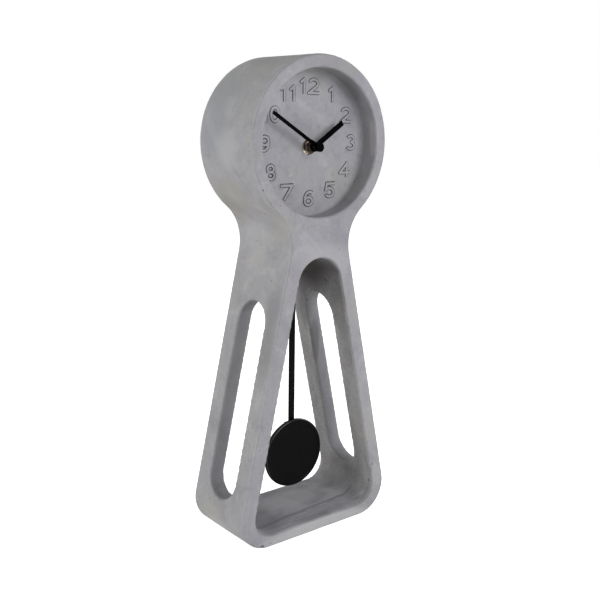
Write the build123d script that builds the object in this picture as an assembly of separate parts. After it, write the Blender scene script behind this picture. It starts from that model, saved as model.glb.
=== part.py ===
from build123d import *
import math
import os

# Desk pendulum clock with a cast concrete case.
# Lengths are in millimetres and angles in degrees. X points right, Y points to the
# rear and Z points up. The origin is on the ground under the middle of the case.

# Case outline
case_height = 475.0
case_depth = 86.8
foot_half_width = 100.9
neck_web = 26.7
neck_radius = 44.6
foot_radius = 32.1
front_edge_radius = 2.2
rear_edge_radius = 3.0

# Opening between the legs, at its front edge
leg_wall = 15.9
floor_thickness = 12.1
crown_radius = 26.8
opening_corner_radius = 20.0
opening_flare = 1.7
parting_depth = 18.6
opening_edge_radius = 1.0

# Slots through the legs
slot_margin = 3.0
slot_bottom = 44.5
slot_drop = 43.8
slot_edge_radius = 1.2

# Dial recess, dial wall and rear cavity
recess_rim = 12.3
recess_depth = 21.2
recess_edge_radius = 0.8
recess_foot_radius = 1.6
dial_wall = 8.0
cavity_wall = 16.0
cavity_gap = 4.2
neck_channel_half_width = 20.0
neck_channel_clearance = 7.0

# Raised numerals on the dial
numeral_height = 16.2
numeral_stroke = 2.6
numeral_relief = 1.0
numeral_ring_inset = 16.7
numeral_gap = 3.0
eleven_gap = 4.6
hour_step = 30.0
half_turn = 180.0

# Hand shaft, counted from the dial face
shaft_drop = 3.4
washer_thickness = 0.8
washer_radius = 7.6
nut_across_flats = 12.6
nut_thickness = 3.6
bushing_radius = 5.0
bushing_reach = 7.4
bushing_hole_clearance = 0.3
hour_hand_height = 9.4
minute_hand_height = 14.2
cap_reach = 18.2
cap_radius = 4.4

# Hands
hand_thickness = 0.6
hour_hand_inset = 28.4
hour_hand_width = 5.5
hour_hand_turn = 56.6
hour_boss_radius = 4.6
minute_hand_inset = 7.5
minute_hand_width = 3.6
minute_hand_turn = 301.0
minute_boss_radius = 3.6
hand_boss_thickness = 2.2
cap_edge_radius = 0.5

# Movement box, placed from the hand shaft
rubber_thickness = 1.2
rubber_radius = 11.0
shell_wall = 1.2
bay_gap = 1.6
shell_below_shaft = 31.0
shell_above_shaft = 58.0
shell_corner_radius = 4.0
tray_depth = 10.0
back_plate_thickness = 1.2
bushing_flange_radius = 8.0
bushing_flange_thickness = 1.0
running_clearance = 0.05
layer_gap = 0.4
pivot_radius = 0.5
pivot_depth = 0.8

# Gear teeth, in modules and in shares of the tooth spacing
addendum_share = 0.8
dedendum_share = 1.1
tip_width_share = 0.18
pitch_width_share = 0.40
root_width_share = 0.62

# Hand gears
hand_module = 0.4
hour_module = 0.384
cannon_teeth = 12
minute_wheel_teeth = 36
minute_pinion_teeth = 10
hour_wheel_teeth = 40
hour_pipe_radius = 2.6
cannon_radius = 1.6
cannon_arbor_radius = 0.6
cap_thread_radius = 1.0
cap_thread_length = 2.6
minute_post_radius = 0.8
setting_teeth = 12
setting_shaft_radius = 1.5
setting_knob_radius = 6.0
setting_knob_depth = 4.4
setting_knob_flutes = 16
setting_flute_radius = 0.5
minute_wheel_direction = 215.0
setting_direction = 200.0

# Running train
train_module = 0.3
pinion_teeth = 8
centre_wheel_teeth = 64
third_wheel_teeth = 60
fourth_wheel_teeth = 48
fifth_wheel_teeth = 40
wheel_thickness = 0.8
pinion_thickness = 1.0
hand_wheel_thickness = 1.2
third_direction = 120.0
fourth_direction = 170.0
fifth_direction = 80.0
rotor_direction = 45.0
rotor_magnet_radius = 3.0
rotor_magnet_thickness = 2.6
rotor_gap = 0.4

# Stator, coil and circuit board
stator_thickness = 0.8
stator_reach = 12.0
stator_band = 4.4
stator_leg_width = 3.4
stator_leg_height = 9.0
coil_core_thickness = 0.8
coil_core_height = 3.6
bobbin_wall = 0.6
bobbin_flange_thickness = 0.8
bobbin_flange_radius = 3.0
coil_radius = 2.7
board_width = 33.0
board_height = 11.0
board_thickness = 1.0
board_margin = 0.8
chip_radius = 2.4
chip_height = 0.8
crystal_radius = 1.0
crystal_length = 6.0

# Battery and its contacts
battery_radius = 7.25
battery_length = 49.5
battery_nub_radius = 2.6
battery_nub_height = 1.0
battery_edge_radius = 0.4
battery_clearance = 0.3
contact_thickness = 0.4
contact_width = 8.0
leaf_height = 3.6
leaf_pad = 2.4

# Pendulum drive at the top of the movement
hanger_pin_height = 40.0
housing_half_width = 20.0
housing_bottom = 30.0
housing_top = 57.0
housing_depth = 10.4
pendulum_coil_radius = 5.5
pendulum_coil_bore = 2.0
pendulum_coil_thickness = 4.4
magnet_height = 10.0
magnet_radius = 3.6
hanger_pin_radius = 1.0
hanger_width = 8.4
hanger_head_radius = 5.0
hanger_end = 5.5
hanger_peg_radius = 1.2
hanger_peg_reach = 1.8
hanger_peg_height = 14.0

# Pendulum
pendulum_clearance = 1.2
rod_thickness = 2.4
rod_width = 7.4
rod_gap = 1.0
rod_overlap = 22.0
hook_thickness = 0.8
hook_width = 6.0
hook_overlap = 12.0
hook_rivet_radius = 0.9
hook_rivet_spacing = 6.0
hook_rivet_head_radius = 1.5
hook_rivet_head_height = 0.5
bob_radius = 36.5
bob_thickness = 5.0
bob_height = 72.9
bob_edge_radius = 2.0
clip_wall = 1.0
clip_width = 16.0
clip_height = 14.0

cut_overrun = 5.0
match_tolerance = 0.01

# Places worked out from the sizes above
case_front = -case_depth / 2
case_rear = case_depth / 2
centre_wheel_reach = train_module * (centre_wheel_teeth / 2 + addendum_share)
bay_width = 2 * (battery_radius + battery_clearance)
bay_left = centre_wheel_reach + bay_gap + shell_wall
bay_right = bay_left + bay_width
shell_half_width = bay_right + shell_wall
cavity_radius = math.hypot(shell_half_width, shell_above_shaft - shaft_drop) + cavity_gap
head_radius = cavity_radius + cavity_wall
head_z = case_height - head_radius
recess_radius = head_radius - recess_rim
numeral_ring_radius = recess_radius - numeral_ring_inset
hour_hand_length = recess_radius - hour_hand_inset
minute_hand_length = recess_radius - minute_hand_inset
crown_top = head_z - head_radius - neck_web
crown_z = crown_top - crown_radius
leg_run = math.hypot(foot_half_width, crown_z)
leg_lean = math.acos((crown_radius + leg_wall) / leg_run) - math.atan2(crown_z, foot_half_width)
lean_slope = math.tan(leg_lean)
lean_cosine = math.cos(leg_lean)
slot_half_width = case_depth / 2 - parting_depth - slot_margin
slot_top = crown_top - slot_drop
dial_y = case_front + recess_depth
dial_wall_rear = dial_y + dial_wall
parting_y = case_front + parting_depth
shaft_z = head_z - shaft_drop
shell_front = dial_wall_rear + rubber_thickness
shell_floor = shell_front + shell_wall
tray_rear = shell_front + tray_depth
plate_rear = tray_rear + back_plate_thickness
hanger_pin_z = shaft_z + hanger_pin_height
rod_front = plate_rear + pendulum_clearance
rod_rear = rod_front + rod_thickness
bushing_front = dial_y - bushing_reach


# Helpers


def slab(sketch, front, rear):
    """Solid of a flat X-Z sketch between two depths."""
    return Pos(0, rear, 0) * extrude(Plane.XZ * sketch, amount=rear - front)


def disc(x, z, radius, front, rear):
    return slab(Pos(x, z) * Circle(radius), front, rear)


def ring(x, z, outer, inner, front, rear):
    return slab(Pos(x, z) * (Circle(outer) - Circle(inner)), front, rear)


def block(left, right, front, rear, bottom, top):
    centre = Pos((left + right) / 2, (bottom + top) / 2)
    return slab(centre * Rectangle(right - left, top - bottom), front, rear)


def polar(origin, distance, direction):
    """Point at a distance and a direction in the X-Z plane."""
    angle = math.radians(direction)
    return (origin[0] + distance * math.cos(angle), origin[1] + distance * math.sin(angle))


def gear_face(teeth, module, turn):
    """Flat gear whose first tooth points in the direction turn."""
    spacing = 2 * math.pi / teeth
    pitch_radius = teeth * module / 2
    tip = pitch_radius + addendum_share * module
    root = pitch_radius - dedendum_share * module
    profile = (
        (root, -root_width_share),
        (pitch_radius, -pitch_width_share),
        (tip, -tip_width_share),
        (tip, tip_width_share),
        (pitch_radius, pitch_width_share),
        (root, root_width_share),
    )
    points = []
    for tooth in range(teeth):
        middle = math.radians(turn) + tooth * spacing
        for radius, half_share in profile:
            angle = middle + half_share * spacing / 2
            points.append((radius * math.cos(angle), radius * math.sin(angle)))
    return make_face(Polyline(*points, close=True))


def gear(place, teeth, module, turn, front, rear):
    return slab(Pos(*place) * gear_face(teeth, module, turn), front, rear)


def meshed_turn(turn, teeth, direction, mate_teeth):
    """Turn of a mating gear, so that a gap meets the first gear's tooth."""
    offset = turn - direction
    return direction + half_turn + half_turn / mate_teeth - offset * teeth / mate_teeth


def centre_distance(teeth, mate_teeth, module):
    return (teeth + mate_teeth) * module / 2


# Case


def case_outline():
    leg_top_half_width = foot_half_width - head_z * lean_slope
    legs = make_face(
        Polyline(
            (-foot_half_width, 0),
            (foot_half_width, 0),
            (leg_top_half_width, head_z),
            (-leg_top_half_width, head_z),
            close=True,
        )
    )
    outline = Sketch() + (legs + Pos(0, head_z) * Circle(head_radius))
    corners = outline.vertices().sort_by(Axis.Y)
    necks = [v for v in corners[2:] if v.Y < head_z and abs(v.X) < head_radius]
    outline = fillet(necks, neck_radius)
    feet = outline.vertices().sort_by(Axis.Y)[:2]
    return fillet(feet, foot_radius)


def opening_outline():
    """Opening between the legs at the parting line, where it is narrowest."""
    bottom = floor_thickness + opening_flare
    half_width = foot_half_width - (leg_wall + opening_flare) / lean_cosine
    triangle = make_face(
        Polyline(
            (bottom * lean_slope - half_width, bottom),
            (half_width - bottom * lean_slope, bottom),
            (0, half_width / lean_slope),
            close=True,
        )
    )
    outline = Sketch() + triangle
    corners = outline.vertices().sort_by(Axis.Y)
    outline = fillet(corners[-1], crown_radius - opening_flare)
    feet = outline.vertices().sort_by(Axis.Y)[:2]
    return fillet(feet, opening_corner_radius - opening_flare)


def leg_opening():
    """The opening flares from the parting line to the front and to the rear."""
    face = Pos(0, parting_y, 0) * (Plane.XZ * opening_outline())
    front_run = parting_depth + cut_overrun
    rear_run = case_depth - parting_depth + cut_overrun
    front_taper = math.degrees(math.atan(opening_flare / parting_depth))
    rear_taper = math.degrees(math.atan(opening_flare / (case_depth - parting_depth)))
    front_half = extrude(face, amount=front_run, taper=-front_taper)
    rear_half = extrude(face, amount=-rear_run, taper=-rear_taper)
    return front_half + rear_half


def leg_slots():
    """One cutter that runs through both legs."""
    height = slot_top - slot_bottom
    outline = Pos(0, (slot_top + slot_bottom) / 2) * SlotOverall(height, 2 * slot_half_width, rotation=90)
    reach = foot_half_width + cut_overrun
    return extrude(Plane.YZ * outline, amount=reach, both=True)


def numeral_bar(start, end):
    length = math.dist(start, end)
    direction = math.degrees(math.atan2(end[1] - start[1], end[0] - start[0]))
    middle = ((start[0] + end[0]) / 2, (start[1] + end[1]) / 2)
    bar = Rectangle(length + numeral_stroke, numeral_stroke)
    return Pos(*middle) * (Rot(0, 0, direction) * bar)


def numeral_oval(centre, half_width, half_height, start, sweep):
    middle = Pos(*centre)
    half_stroke = numeral_stroke / 2
    outer = (half_width + half_stroke, half_height + half_stroke)
    inner = (half_width - half_stroke, half_height - half_stroke)
    if sweep == 360:
        return middle * (Ellipse(*outer) - Ellipse(*inner))
    far = EllipticalCenterArc((0, 0), *outer, start, arc_size=sweep)
    near = EllipticalCenterArc((0, 0), *inner, start, arc_size=sweep)
    return middle * make_face([far, near, Line(far @ 0, near @ 0), Line(far @ 1, near @ 1)])


# Each digit is drawn on its centre line, in shares of the numeral's height: a bar has
# its two ends, an oval its centre, half sizes, start angle and sweep.
digit_shares = {
    "0": (("oval", (0.0, 0.5), (0.33, 0.5), 0, 360),),
    "1": (("bar", (0.14, 0.0), (0.14, 1.0)), ("bar", (0.14, 1.0), (-0.14, 0.78))),
    "2": (
        ("oval", (0.0, 0.70), (0.37, 0.30), -40, 210),
        ("bar", (0.285, 0.51), (-0.44, 0.0)),
        ("bar", (-0.44, 0.0), (0.44, 0.0)),
    ),
    "3": (("oval", (0.0, 0.76), (0.30, 0.24), -90, 245), ("oval", (0.0, 0.26), (0.35, 0.26), -155, 245)),
    "4": (
        ("bar", (0.20, 0.0), (0.20, 1.0)),
        ("bar", (0.20, 1.0), (-0.44, 0.27)),
        ("bar", (-0.44, 0.27), (0.44, 0.27)),
    ),
    "5": (
        ("bar", (-0.26, 1.0), (0.42, 1.0)),
        ("bar", (-0.26, 1.0), (-0.35, 0.50)),
        ("oval", (0.0, 0.32), (0.38, 0.32), -155, 305),
    ),
    "6": (("oval", (0.0, 0.30), (0.34, 0.30), 0, 360), ("oval", (0.08, 0.46), (0.42, 0.54), 50, 140)),
    "7": (("bar", (-0.48, 1.0), (0.48, 1.0)), ("bar", (0.48, 1.0), (-0.19, 0.0))),
    "8": (("oval", (0.0, 0.76), (0.27, 0.24), 0, 360), ("oval", (0.0, 0.26), (0.32, 0.26), 0, 360)),
    "9": (("oval", (0.0, 0.70), (0.34, 0.30), 0, 360), ("oval", (-0.08, 0.54), (0.42, 0.54), -130, 140)),
}
digit_width_shares = {
    "0": 0.66,
    "1": 0.28,
    "2": 0.88,
    "3": 0.70,
    "4": 0.88,
    "5": 0.78,
    "6": 0.68,
    "7": 0.96,
    "8": 0.64,
    "9": 0.68,
}


def digit_face(digit):
    """A digit that stands on Y = 0 and is centred on X = 0."""
    run = numeral_height - numeral_stroke
    face = Sketch()
    for kind, first, second, *sweep in digit_shares[digit]:
        first, second = [(x * run, y * run) for x, y in (first, second)]
        face += numeral_bar(first, second) if kind == "bar" else numeral_oval(first, *second, *sweep)
    return Pos(0, numeral_stroke / 2) * face


def numeral_face(hour):
    """An upright numeral, centred on its place in the ring of hours."""
    digits = str(hour)
    run = numeral_height - numeral_stroke
    widths = [digit_width_shares[digit] * run + numeral_stroke for digit in digits]
    gap = eleven_gap if hour == 11 else numeral_gap
    total = sum(widths) + gap * (len(digits) - 1)
    x, z = polar((0, head_z), numeral_ring_radius, 90 - hour_step * hour)
    left = x - total / 2
    face = Sketch()
    for digit, width in zip(digits, widths):
        face += Pos(left + width / 2, z - numeral_height / 2) * digit_face(digit)
        left += width + gap
    return face


def concrete_case():
    body = slab(case_outline(), case_front, case_rear)
    body = fillet([e for e in body.edges() if at_depth(e, case_front)], front_edge_radius)
    body = fillet([e for e in body.edges() if at_depth(e, case_rear)], rear_edge_radius)
    body -= leg_opening()
    body = fillet([e for e in body.edges() if on_opening_rim(e)], opening_edge_radius)
    body -= leg_slots()
    body = fillet([e for e in body.edges() if on_slot_rim(e)], slot_edge_radius)
    body -= disc(0, head_z, recess_radius, case_front - cut_overrun, dial_y)
    body = fillet(recess_rims(body, case_front), recess_edge_radius)
    body = fillet(recess_rims(body, dial_y), recess_foot_radius)
    body -= disc(0, head_z, cavity_radius, dial_wall_rear, case_rear + cut_overrun)
    body -= neck_channel()
    body -= disc(0, shaft_z, bushing_radius + bushing_hole_clearance, dial_y - cut_overrun, shell_front)
    for hour in range(1, 13):
        body += slab(numeral_face(hour), dial_y - numeral_relief, dial_y + numeral_relief)
    return body


def at_depth(edge, depth):
    """True for an edge that lies flat at one depth."""
    box = edge.bounding_box()
    return abs(box.min.Y - depth) < match_tolerance and abs(box.max.Y - depth) < match_tolerance


def on_opening_rim(edge):
    """Edges where the opening meets the front and rear faces."""
    middle = edge.center()
    in_width = abs(middle.X) < foot_half_width - leg_wall / 2 - middle.Z * lean_slope
    in_height = floor_thickness / 2 < middle.Z < crown_top + match_tolerance
    return (at_depth(edge, case_front) or at_depth(edge, case_rear)) and in_width and in_height


def on_slot_rim(edge):
    """Edges where the slots meet the outer and inner faces of the legs."""
    box = edge.bounding_box()
    in_width = max(abs(box.min.Y), abs(box.max.Y)) < slot_half_width + match_tolerance
    in_height = slot_bottom - match_tolerance < box.min.Z and box.max.Z < slot_top + match_tolerance
    return in_width and in_height and box.size.Z > slot_half_width / 2


def recess_rims(body, depth):
    """Circular edges of the dial recess at one depth."""
    circles = [e for e in body.edges().filter_by(GeomType.CIRCLE) if at_depth(e, depth)]
    return [e for e in circles if abs(e.radius - recess_radius) < match_tolerance]


def neck_channel():
    """Way through the neck for the pendulum rod, open to the rear."""
    side = neck_channel_half_width
    front = rod_front - neck_channel_clearance
    return block(-side, side, front, case_rear + cut_overrun, crown_z, head_z)


# Shaft, nut and hands


def threaded_bushing():
    body = disc(0, shaft_z, bushing_radius, bushing_front, shell_front)
    body += disc(0, shaft_z, bushing_flange_radius, shell_front - bushing_flange_thickness, shell_front)
    bore = hour_pipe_radius + running_clearance
    return body - disc(0, shaft_z, bore, bushing_front, shell_front)


def rubber_washer():
    return ring(0, shaft_z, rubber_radius, bushing_flange_radius, dial_wall_rear, shell_front)


def brass_washer():
    return ring(0, shaft_z, washer_radius, bushing_radius, dial_y - washer_thickness, dial_y)


def brass_nut():
    rear = dial_y - washer_thickness
    front = rear - nut_thickness
    hexagon = Pos(0, shaft_z) * (Rot(0, 0, 30) * RegularPolygon(nut_across_flats / 2, 6, major_radius=False))
    return slab(hexagon, front, rear) - disc(0, shaft_z, bushing_radius, front, rear)


def hand(length, width, turn, boss_radius, bore, height):
    """A straight hand with its boss; turn is clockwise from twelve."""
    front = hand_front(height)
    blade = Pos(0, length / 2) * Rectangle(width, length)
    blade = Pos(0, shaft_z) * (Rot(0, 0, -turn) * blade)
    body = slab(blade, front, front + hand_thickness)
    body += disc(0, shaft_z, boss_radius, front, front + hand_boss_thickness)
    return body - disc(0, shaft_z, bore, front, front + hand_boss_thickness)


def hour_hand():
    return hand(
        hour_hand_length,
        hour_hand_width,
        hour_hand_turn,
        hour_boss_radius,
        hour_pipe_radius,
        hour_hand_height,
    )


def minute_hand():
    return hand(
        minute_hand_length,
        minute_hand_width,
        minute_hand_turn,
        minute_boss_radius,
        cannon_radius,
        minute_hand_height,
    )


def hand_front(height):
    return dial_y - height - hand_thickness / 2


def hand_cap_nut():
    rear = hand_front(minute_hand_height)
    front = dial_y - cap_reach
    body = disc(0, shaft_z, cap_radius, front, rear)
    body = fillet([e for e in body.edges() if at_depth(e, front)], cap_edge_radius)
    return body - disc(0, shaft_z, cap_thread_radius, rear - cap_thread_length, rear)


# Gear places in the X-Z plane

centre_place = (0, shaft_z)
minute_wheel_distance = centre_distance(cannon_teeth, minute_wheel_teeth, hand_module)
minute_wheel_place = polar(centre_place, minute_wheel_distance, minute_wheel_direction)
setting_distance = centre_distance(minute_wheel_teeth, setting_teeth, hand_module)
setting_place = polar(minute_wheel_place, setting_distance, setting_direction)
third_distance = centre_distance(centre_wheel_teeth, pinion_teeth, train_module)
third_place = polar(centre_place, third_distance, third_direction)
fourth_distance = centre_distance(third_wheel_teeth, pinion_teeth, train_module)
fourth_place = polar(third_place, fourth_distance, fourth_direction)
fifth_distance = centre_distance(fourth_wheel_teeth, pinion_teeth, train_module)
fifth_place = polar(fourth_place, fifth_distance, fifth_direction)
rotor_distance = centre_distance(fifth_wheel_teeth, pinion_teeth, train_module)
rotor_place = polar(fifth_place, rotor_distance, rotor_direction)
stator_left = rotor_place[0] - stator_reach
stator_right = rotor_place[0] + stator_reach

# Gear layers, each given by its front and rear depth
hour_layer = (shell_floor + layer_gap, shell_floor + layer_gap + hand_wheel_thickness)
cannon_layer = (hour_layer[1] + layer_gap, hour_layer[1] + layer_gap + hand_wheel_thickness)
centre_layer = (cannon_layer[1] + layer_gap, cannon_layer[1] + layer_gap + pinion_thickness)
third_layer = (centre_layer[1] + layer_gap, centre_layer[1] + layer_gap + pinion_thickness)
fourth_layer = (third_layer[1] + layer_gap / 2, third_layer[1] + layer_gap / 2 + pinion_thickness)
fifth_layer = (fourth_layer[1] + layer_gap / 2, fourth_layer[1] + layer_gap / 2 + pinion_thickness)


def hour_wheel():
    turn = meshed_turn(0, minute_pinion_teeth, minute_wheel_direction + half_turn, hour_wheel_teeth)
    pipe_front = hand_front(hour_hand_height)
    body = gear(centre_place, hour_wheel_teeth, hour_module, turn, *hour_layer)
    body += disc(*centre_place, hour_pipe_radius, pipe_front, hour_layer[1])
    return body - disc(*centre_place, cannon_radius + running_clearance, pipe_front, hour_layer[1])


def cannon_pinion():
    """Hand shaft: the minute hand sits on its front, the centre wheel on its arbor."""
    tip = hand_front(minute_hand_height)
    body = gear(centre_place, cannon_teeth, hand_module, 0, *cannon_layer)
    body += disc(*centre_place, cannon_radius, tip, cannon_layer[1])
    body += disc(*centre_place, cap_thread_radius, tip - cap_thread_length, tip)
    return body + disc(*centre_place, cannon_arbor_radius, cannon_layer[1], tray_rear + pivot_depth)


def minute_wheel():
    turn = meshed_turn(0, cannon_teeth, minute_wheel_direction, minute_wheel_teeth)
    body = gear(minute_wheel_place, minute_wheel_teeth, hand_module, turn, *cannon_layer)
    body += gear(minute_wheel_place, minute_pinion_teeth, hour_module, 0, hour_layer[0], cannon_layer[0])
    bore = minute_post_radius + running_clearance
    return body - disc(*minute_wheel_place, bore, hour_layer[0], cannon_layer[1])


def setting_knob():
    """Knob at the rear of the movement, with the pinion on its shaft."""
    wheel_turn = meshed_turn(0, cannon_teeth, minute_wheel_direction, minute_wheel_teeth)
    turn = meshed_turn(wheel_turn, minute_wheel_teeth, setting_direction, setting_teeth)
    knob_front = plate_rear + layer_gap
    knob_rear = knob_front + setting_knob_depth
    body = gear(setting_place, setting_teeth, hand_module, turn, *cannon_layer)
    body += disc(*setting_place, setting_shaft_radius, cannon_layer[1], knob_front)
    body += pivot(setting_place, cannon_layer[0])
    knob = Pos(*setting_place) * Circle(setting_knob_radius)
    for flute in range(setting_knob_flutes):
        place = polar(setting_place, setting_knob_radius, flute * 360 / setting_knob_flutes)
        knob -= Pos(*place) * Circle(setting_flute_radius)
    return body + slab(knob, knob_front, knob_rear)


def pivot(place, rear):
    """Front pivot of an arbor, from the shell's floor to its first gear."""
    return disc(*place, pivot_radius, shell_floor - pivot_depth, rear)


def arbor(place):
    """Arbor that turns in the floor of the front shell and in the back plate."""
    return disc(*place, pivot_radius, shell_floor - pivot_depth, tray_rear + pivot_depth)


def middle_of(layer, thickness):
    middle = (layer[0] + layer[1]) / 2
    return (middle - thickness / 2, middle + thickness / 2)


def centre_wheel():
    body = gear(centre_place, centre_wheel_teeth, train_module, 0, *middle_of(centre_layer, wheel_thickness))
    bore = cannon_arbor_radius + running_clearance
    return body - disc(*centre_place, bore, centre_layer[0], centre_layer[1])


def train_wheel(place, wheel_teeth, wheel_layer, pinion_turn, pinion_layer):
    body = gear(place, wheel_teeth, train_module, 0, *middle_of(wheel_layer, wheel_thickness))
    body += gear(place, pinion_teeth, train_module, pinion_turn, *pinion_layer)
    return body + arbor(place)


def third_wheel():
    turn = meshed_turn(0, centre_wheel_teeth, third_direction, pinion_teeth)
    return train_wheel(third_place, third_wheel_teeth, third_layer, turn, centre_layer)


def fourth_wheel():
    turn = meshed_turn(0, third_wheel_teeth, fourth_direction, pinion_teeth)
    return train_wheel(fourth_place, fourth_wheel_teeth, fourth_layer, turn, third_layer)


def fifth_wheel():
    turn = meshed_turn(0, fourth_wheel_teeth, fifth_direction, pinion_teeth)
    return train_wheel(fifth_place, fifth_wheel_teeth, fifth_layer, turn, fourth_layer)


def rotor_magnet_span():
    rear = fifth_layer[0] - layer_gap
    return (rear - rotor_magnet_thickness, rear)


def rotor_pinion():
    turn = meshed_turn(0, fifth_wheel_teeth, rotor_direction, pinion_teeth)
    return gear(rotor_place, pinion_teeth, train_module, turn, *fifth_layer) + arbor(rotor_place)


def rotor_magnet():
    return ring(*rotor_place, rotor_magnet_radius, pivot_radius, *rotor_magnet_span())


# Stator, coil and board


def stator_span():
    middle = sum(rotor_magnet_span()) / 2
    return (middle - stator_thickness / 2, middle + stator_thickness / 2)


def stator():
    """Plate round the rotor, with two legs that carry the coil's core."""
    front, rear = stator_span()
    bottom = rotor_place[1] - stator_band
    top = rotor_place[1] + stator_band
    body = block(stator_left, stator_right, front, rear, bottom, top)
    for left in (stator_left, stator_right - stator_leg_width):
        body += block(left, left + stator_leg_width, front, rear, top, top + stator_leg_height)
    return body - disc(*rotor_place, rotor_magnet_radius + rotor_gap, front, rear)


def coil_core_height_span():
    top = rotor_place[1] + stator_band + stator_leg_height
    return (top - coil_core_height, top)


def coil_core_span():
    """The core lies against the front of the stator's legs."""
    rear = stator_span()[0]
    return (rear - coil_core_thickness, rear)


def coil_core():
    return block(stator_left, stator_right, *coil_core_span(), *coil_core_height_span())


def coil_axis():
    return (sum(coil_core_span()) / 2, sum(coil_core_height_span()) / 2)


def coil_turned(radius, left, right):
    """Round body along X on the coil's axis."""
    depth, height = coil_axis()
    body = extrude(Plane.YZ * (Pos(depth, height) * Circle(radius)), amount=right - left)
    return Pos(left, 0, 0) * body


def coil_left():
    return stator_left + stator_leg_width + layer_gap


def coil_right():
    return stator_right - stator_leg_width - layer_gap


def coil_bobbin():
    left, right = coil_left(), coil_right()
    tube_radius = coil_core_height / 2 + bobbin_wall
    body = coil_turned(tube_radius, left, right)
    body += coil_turned(bobbin_flange_radius, left, left + bobbin_flange_thickness)
    body += coil_turned(bobbin_flange_radius, right - bobbin_flange_thickness, right)
    return body - coil_core()


def drive_coil():
    left = coil_left() + bobbin_flange_thickness
    right = coil_right() - bobbin_flange_thickness
    tube_radius = coil_core_height / 2 + bobbin_wall
    return coil_turned(coil_radius, left, right) - coil_turned(tube_radius, left, right)


def board_corner():
    left = -shell_half_width + shell_wall + board_margin
    bottom = shaft_z - shell_below_shaft + shell_wall + board_margin
    return (left, bottom)


def circuit_board():
    left, bottom = board_corner()
    rear = shell_floor + board_thickness
    body = block(left, left + board_width, shell_floor, rear, bottom, bottom + board_height)
    chip = (left + board_width / 2, bottom + board_height / 2)
    return body + disc(*chip, chip_radius, rear, rear + chip_height)


def quartz_crystal():
    left, bottom = board_corner()
    centre = (shell_floor + board_thickness + crystal_radius, bottom + board_height / 2)
    body = extrude(Plane.YZ * (Pos(*centre) * Circle(crystal_radius)), amount=crystal_length)
    return Pos(left + board_margin, 0, 0) * body


# Battery bay

bay_floor = shaft_z - shell_below_shaft + shell_wall
battery_x = (bay_left + bay_right) / 2
battery_y = shell_floor + battery_clearance + battery_radius
battery_bottom = bay_floor + leaf_height
bay_top = battery_bottom + battery_length + contact_thickness


def battery():
    base = Pos(battery_x, battery_y, battery_bottom)
    body_length = battery_length - battery_nub_height
    body = base * extrude(Circle(battery_radius), amount=body_length)
    body = fillet(body.edges().filter_by(GeomType.CIRCLE), battery_edge_radius)
    return body + base * extrude(Circle(battery_nub_radius), amount=battery_length)


def battery_plate_contact():
    """Flat contact against the top wall of the bay."""
    half = contact_width / 2
    left, right = battery_x - half, battery_x + half
    return block(left, right, shell_floor, battery_y + half, bay_top - contact_thickness, bay_top)


def battery_leaf_contact():
    """Folded leaf that presses on the battery from the bottom of the bay."""
    half = contact_width / 2
    left, right = battery_x - half, battery_x + half
    pad_left = battery_x - leaf_pad / 2
    pad_right = battery_x + leaf_pad / 2
    outline = make_face(
        Polyline(
            (left, bay_floor),
            (right, bay_floor),
            (right, bay_floor + contact_thickness),
            (pad_right, battery_bottom),
            (pad_left, battery_bottom),
            (pad_left, battery_bottom - contact_thickness),
            (pad_right - contact_thickness, battery_bottom - contact_thickness),
            (right - 2 * contact_thickness, bay_floor + contact_thickness),
            (left, bay_floor + contact_thickness),
            close=True,
        )
    )
    return slab(outline, shell_floor, battery_y + half)


# Movement shells


def movement_front_shell():
    """Tray that holds the wheels, the board and the battery."""
    bottom = shaft_z - shell_below_shaft
    top = shaft_z + shell_above_shaft
    middle = Pos(0, (bottom + top) / 2)
    outline = RectangleRounded(2 * shell_half_width, top - bottom, shell_corner_radius)
    inner_width = 2 * (shell_half_width - shell_wall)
    inner_height = top - bottom - 2 * shell_wall
    hollow = RectangleRounded(inner_width, inner_height, shell_corner_radius - shell_wall)
    body = slab(middle * outline, shell_front, tray_rear)
    body -= slab(middle * hollow, shell_floor, tray_rear)
    body += block(bay_left - shell_wall, bay_left, shell_floor, tray_rear, bottom, bay_top + shell_wall)
    body += block(bay_left, shell_half_width, shell_floor, tray_rear, bay_top, bay_top + shell_wall)
    body += disc(*minute_wheel_place, minute_post_radius, shell_floor, cannon_layer[1])
    body += coil_post(stator_left) + coil_post(stator_right - stator_leg_width)
    for place in (third_place, fourth_place, fifth_place, rotor_place, setting_place):
        body -= disc(*place, pivot_radius + running_clearance, shell_floor - pivot_depth, shell_floor)
    return body - disc(0, shaft_z, hour_pipe_radius + running_clearance, shell_front, shell_floor)


def coil_post(left):
    """Post under one end of the coil's core."""
    return block(left, left + stator_leg_width, shell_floor, coil_core_span()[0], *coil_core_height_span())


def movement_back_shell():
    """Plate over the wheels, with the pendulum's housing above."""
    bottom = shaft_z - shell_below_shaft
    top = shaft_z + shell_above_shaft
    middle = Pos(0, (bottom + top) / 2)
    outline = RectangleRounded(2 * shell_half_width, top - bottom, shell_corner_radius)
    plate = slab(middle * outline, tray_rear, plate_rear)
    bay = block(bay_left, shell_half_width, tray_rear, plate_rear, bottom, bay_top)
    body = plate - bay + pendulum_housing()
    for place in (third_place, fourth_place, fifth_place, rotor_place):
        body -= disc(*place, pivot_radius + running_clearance, tray_rear, tray_rear + pivot_depth)
    body -= disc(*centre_place, cannon_arbor_radius + running_clearance, tray_rear, tray_rear + pivot_depth)
    return body - disc(*setting_place, setting_shaft_radius + running_clearance, tray_rear, plate_rear)


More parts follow.
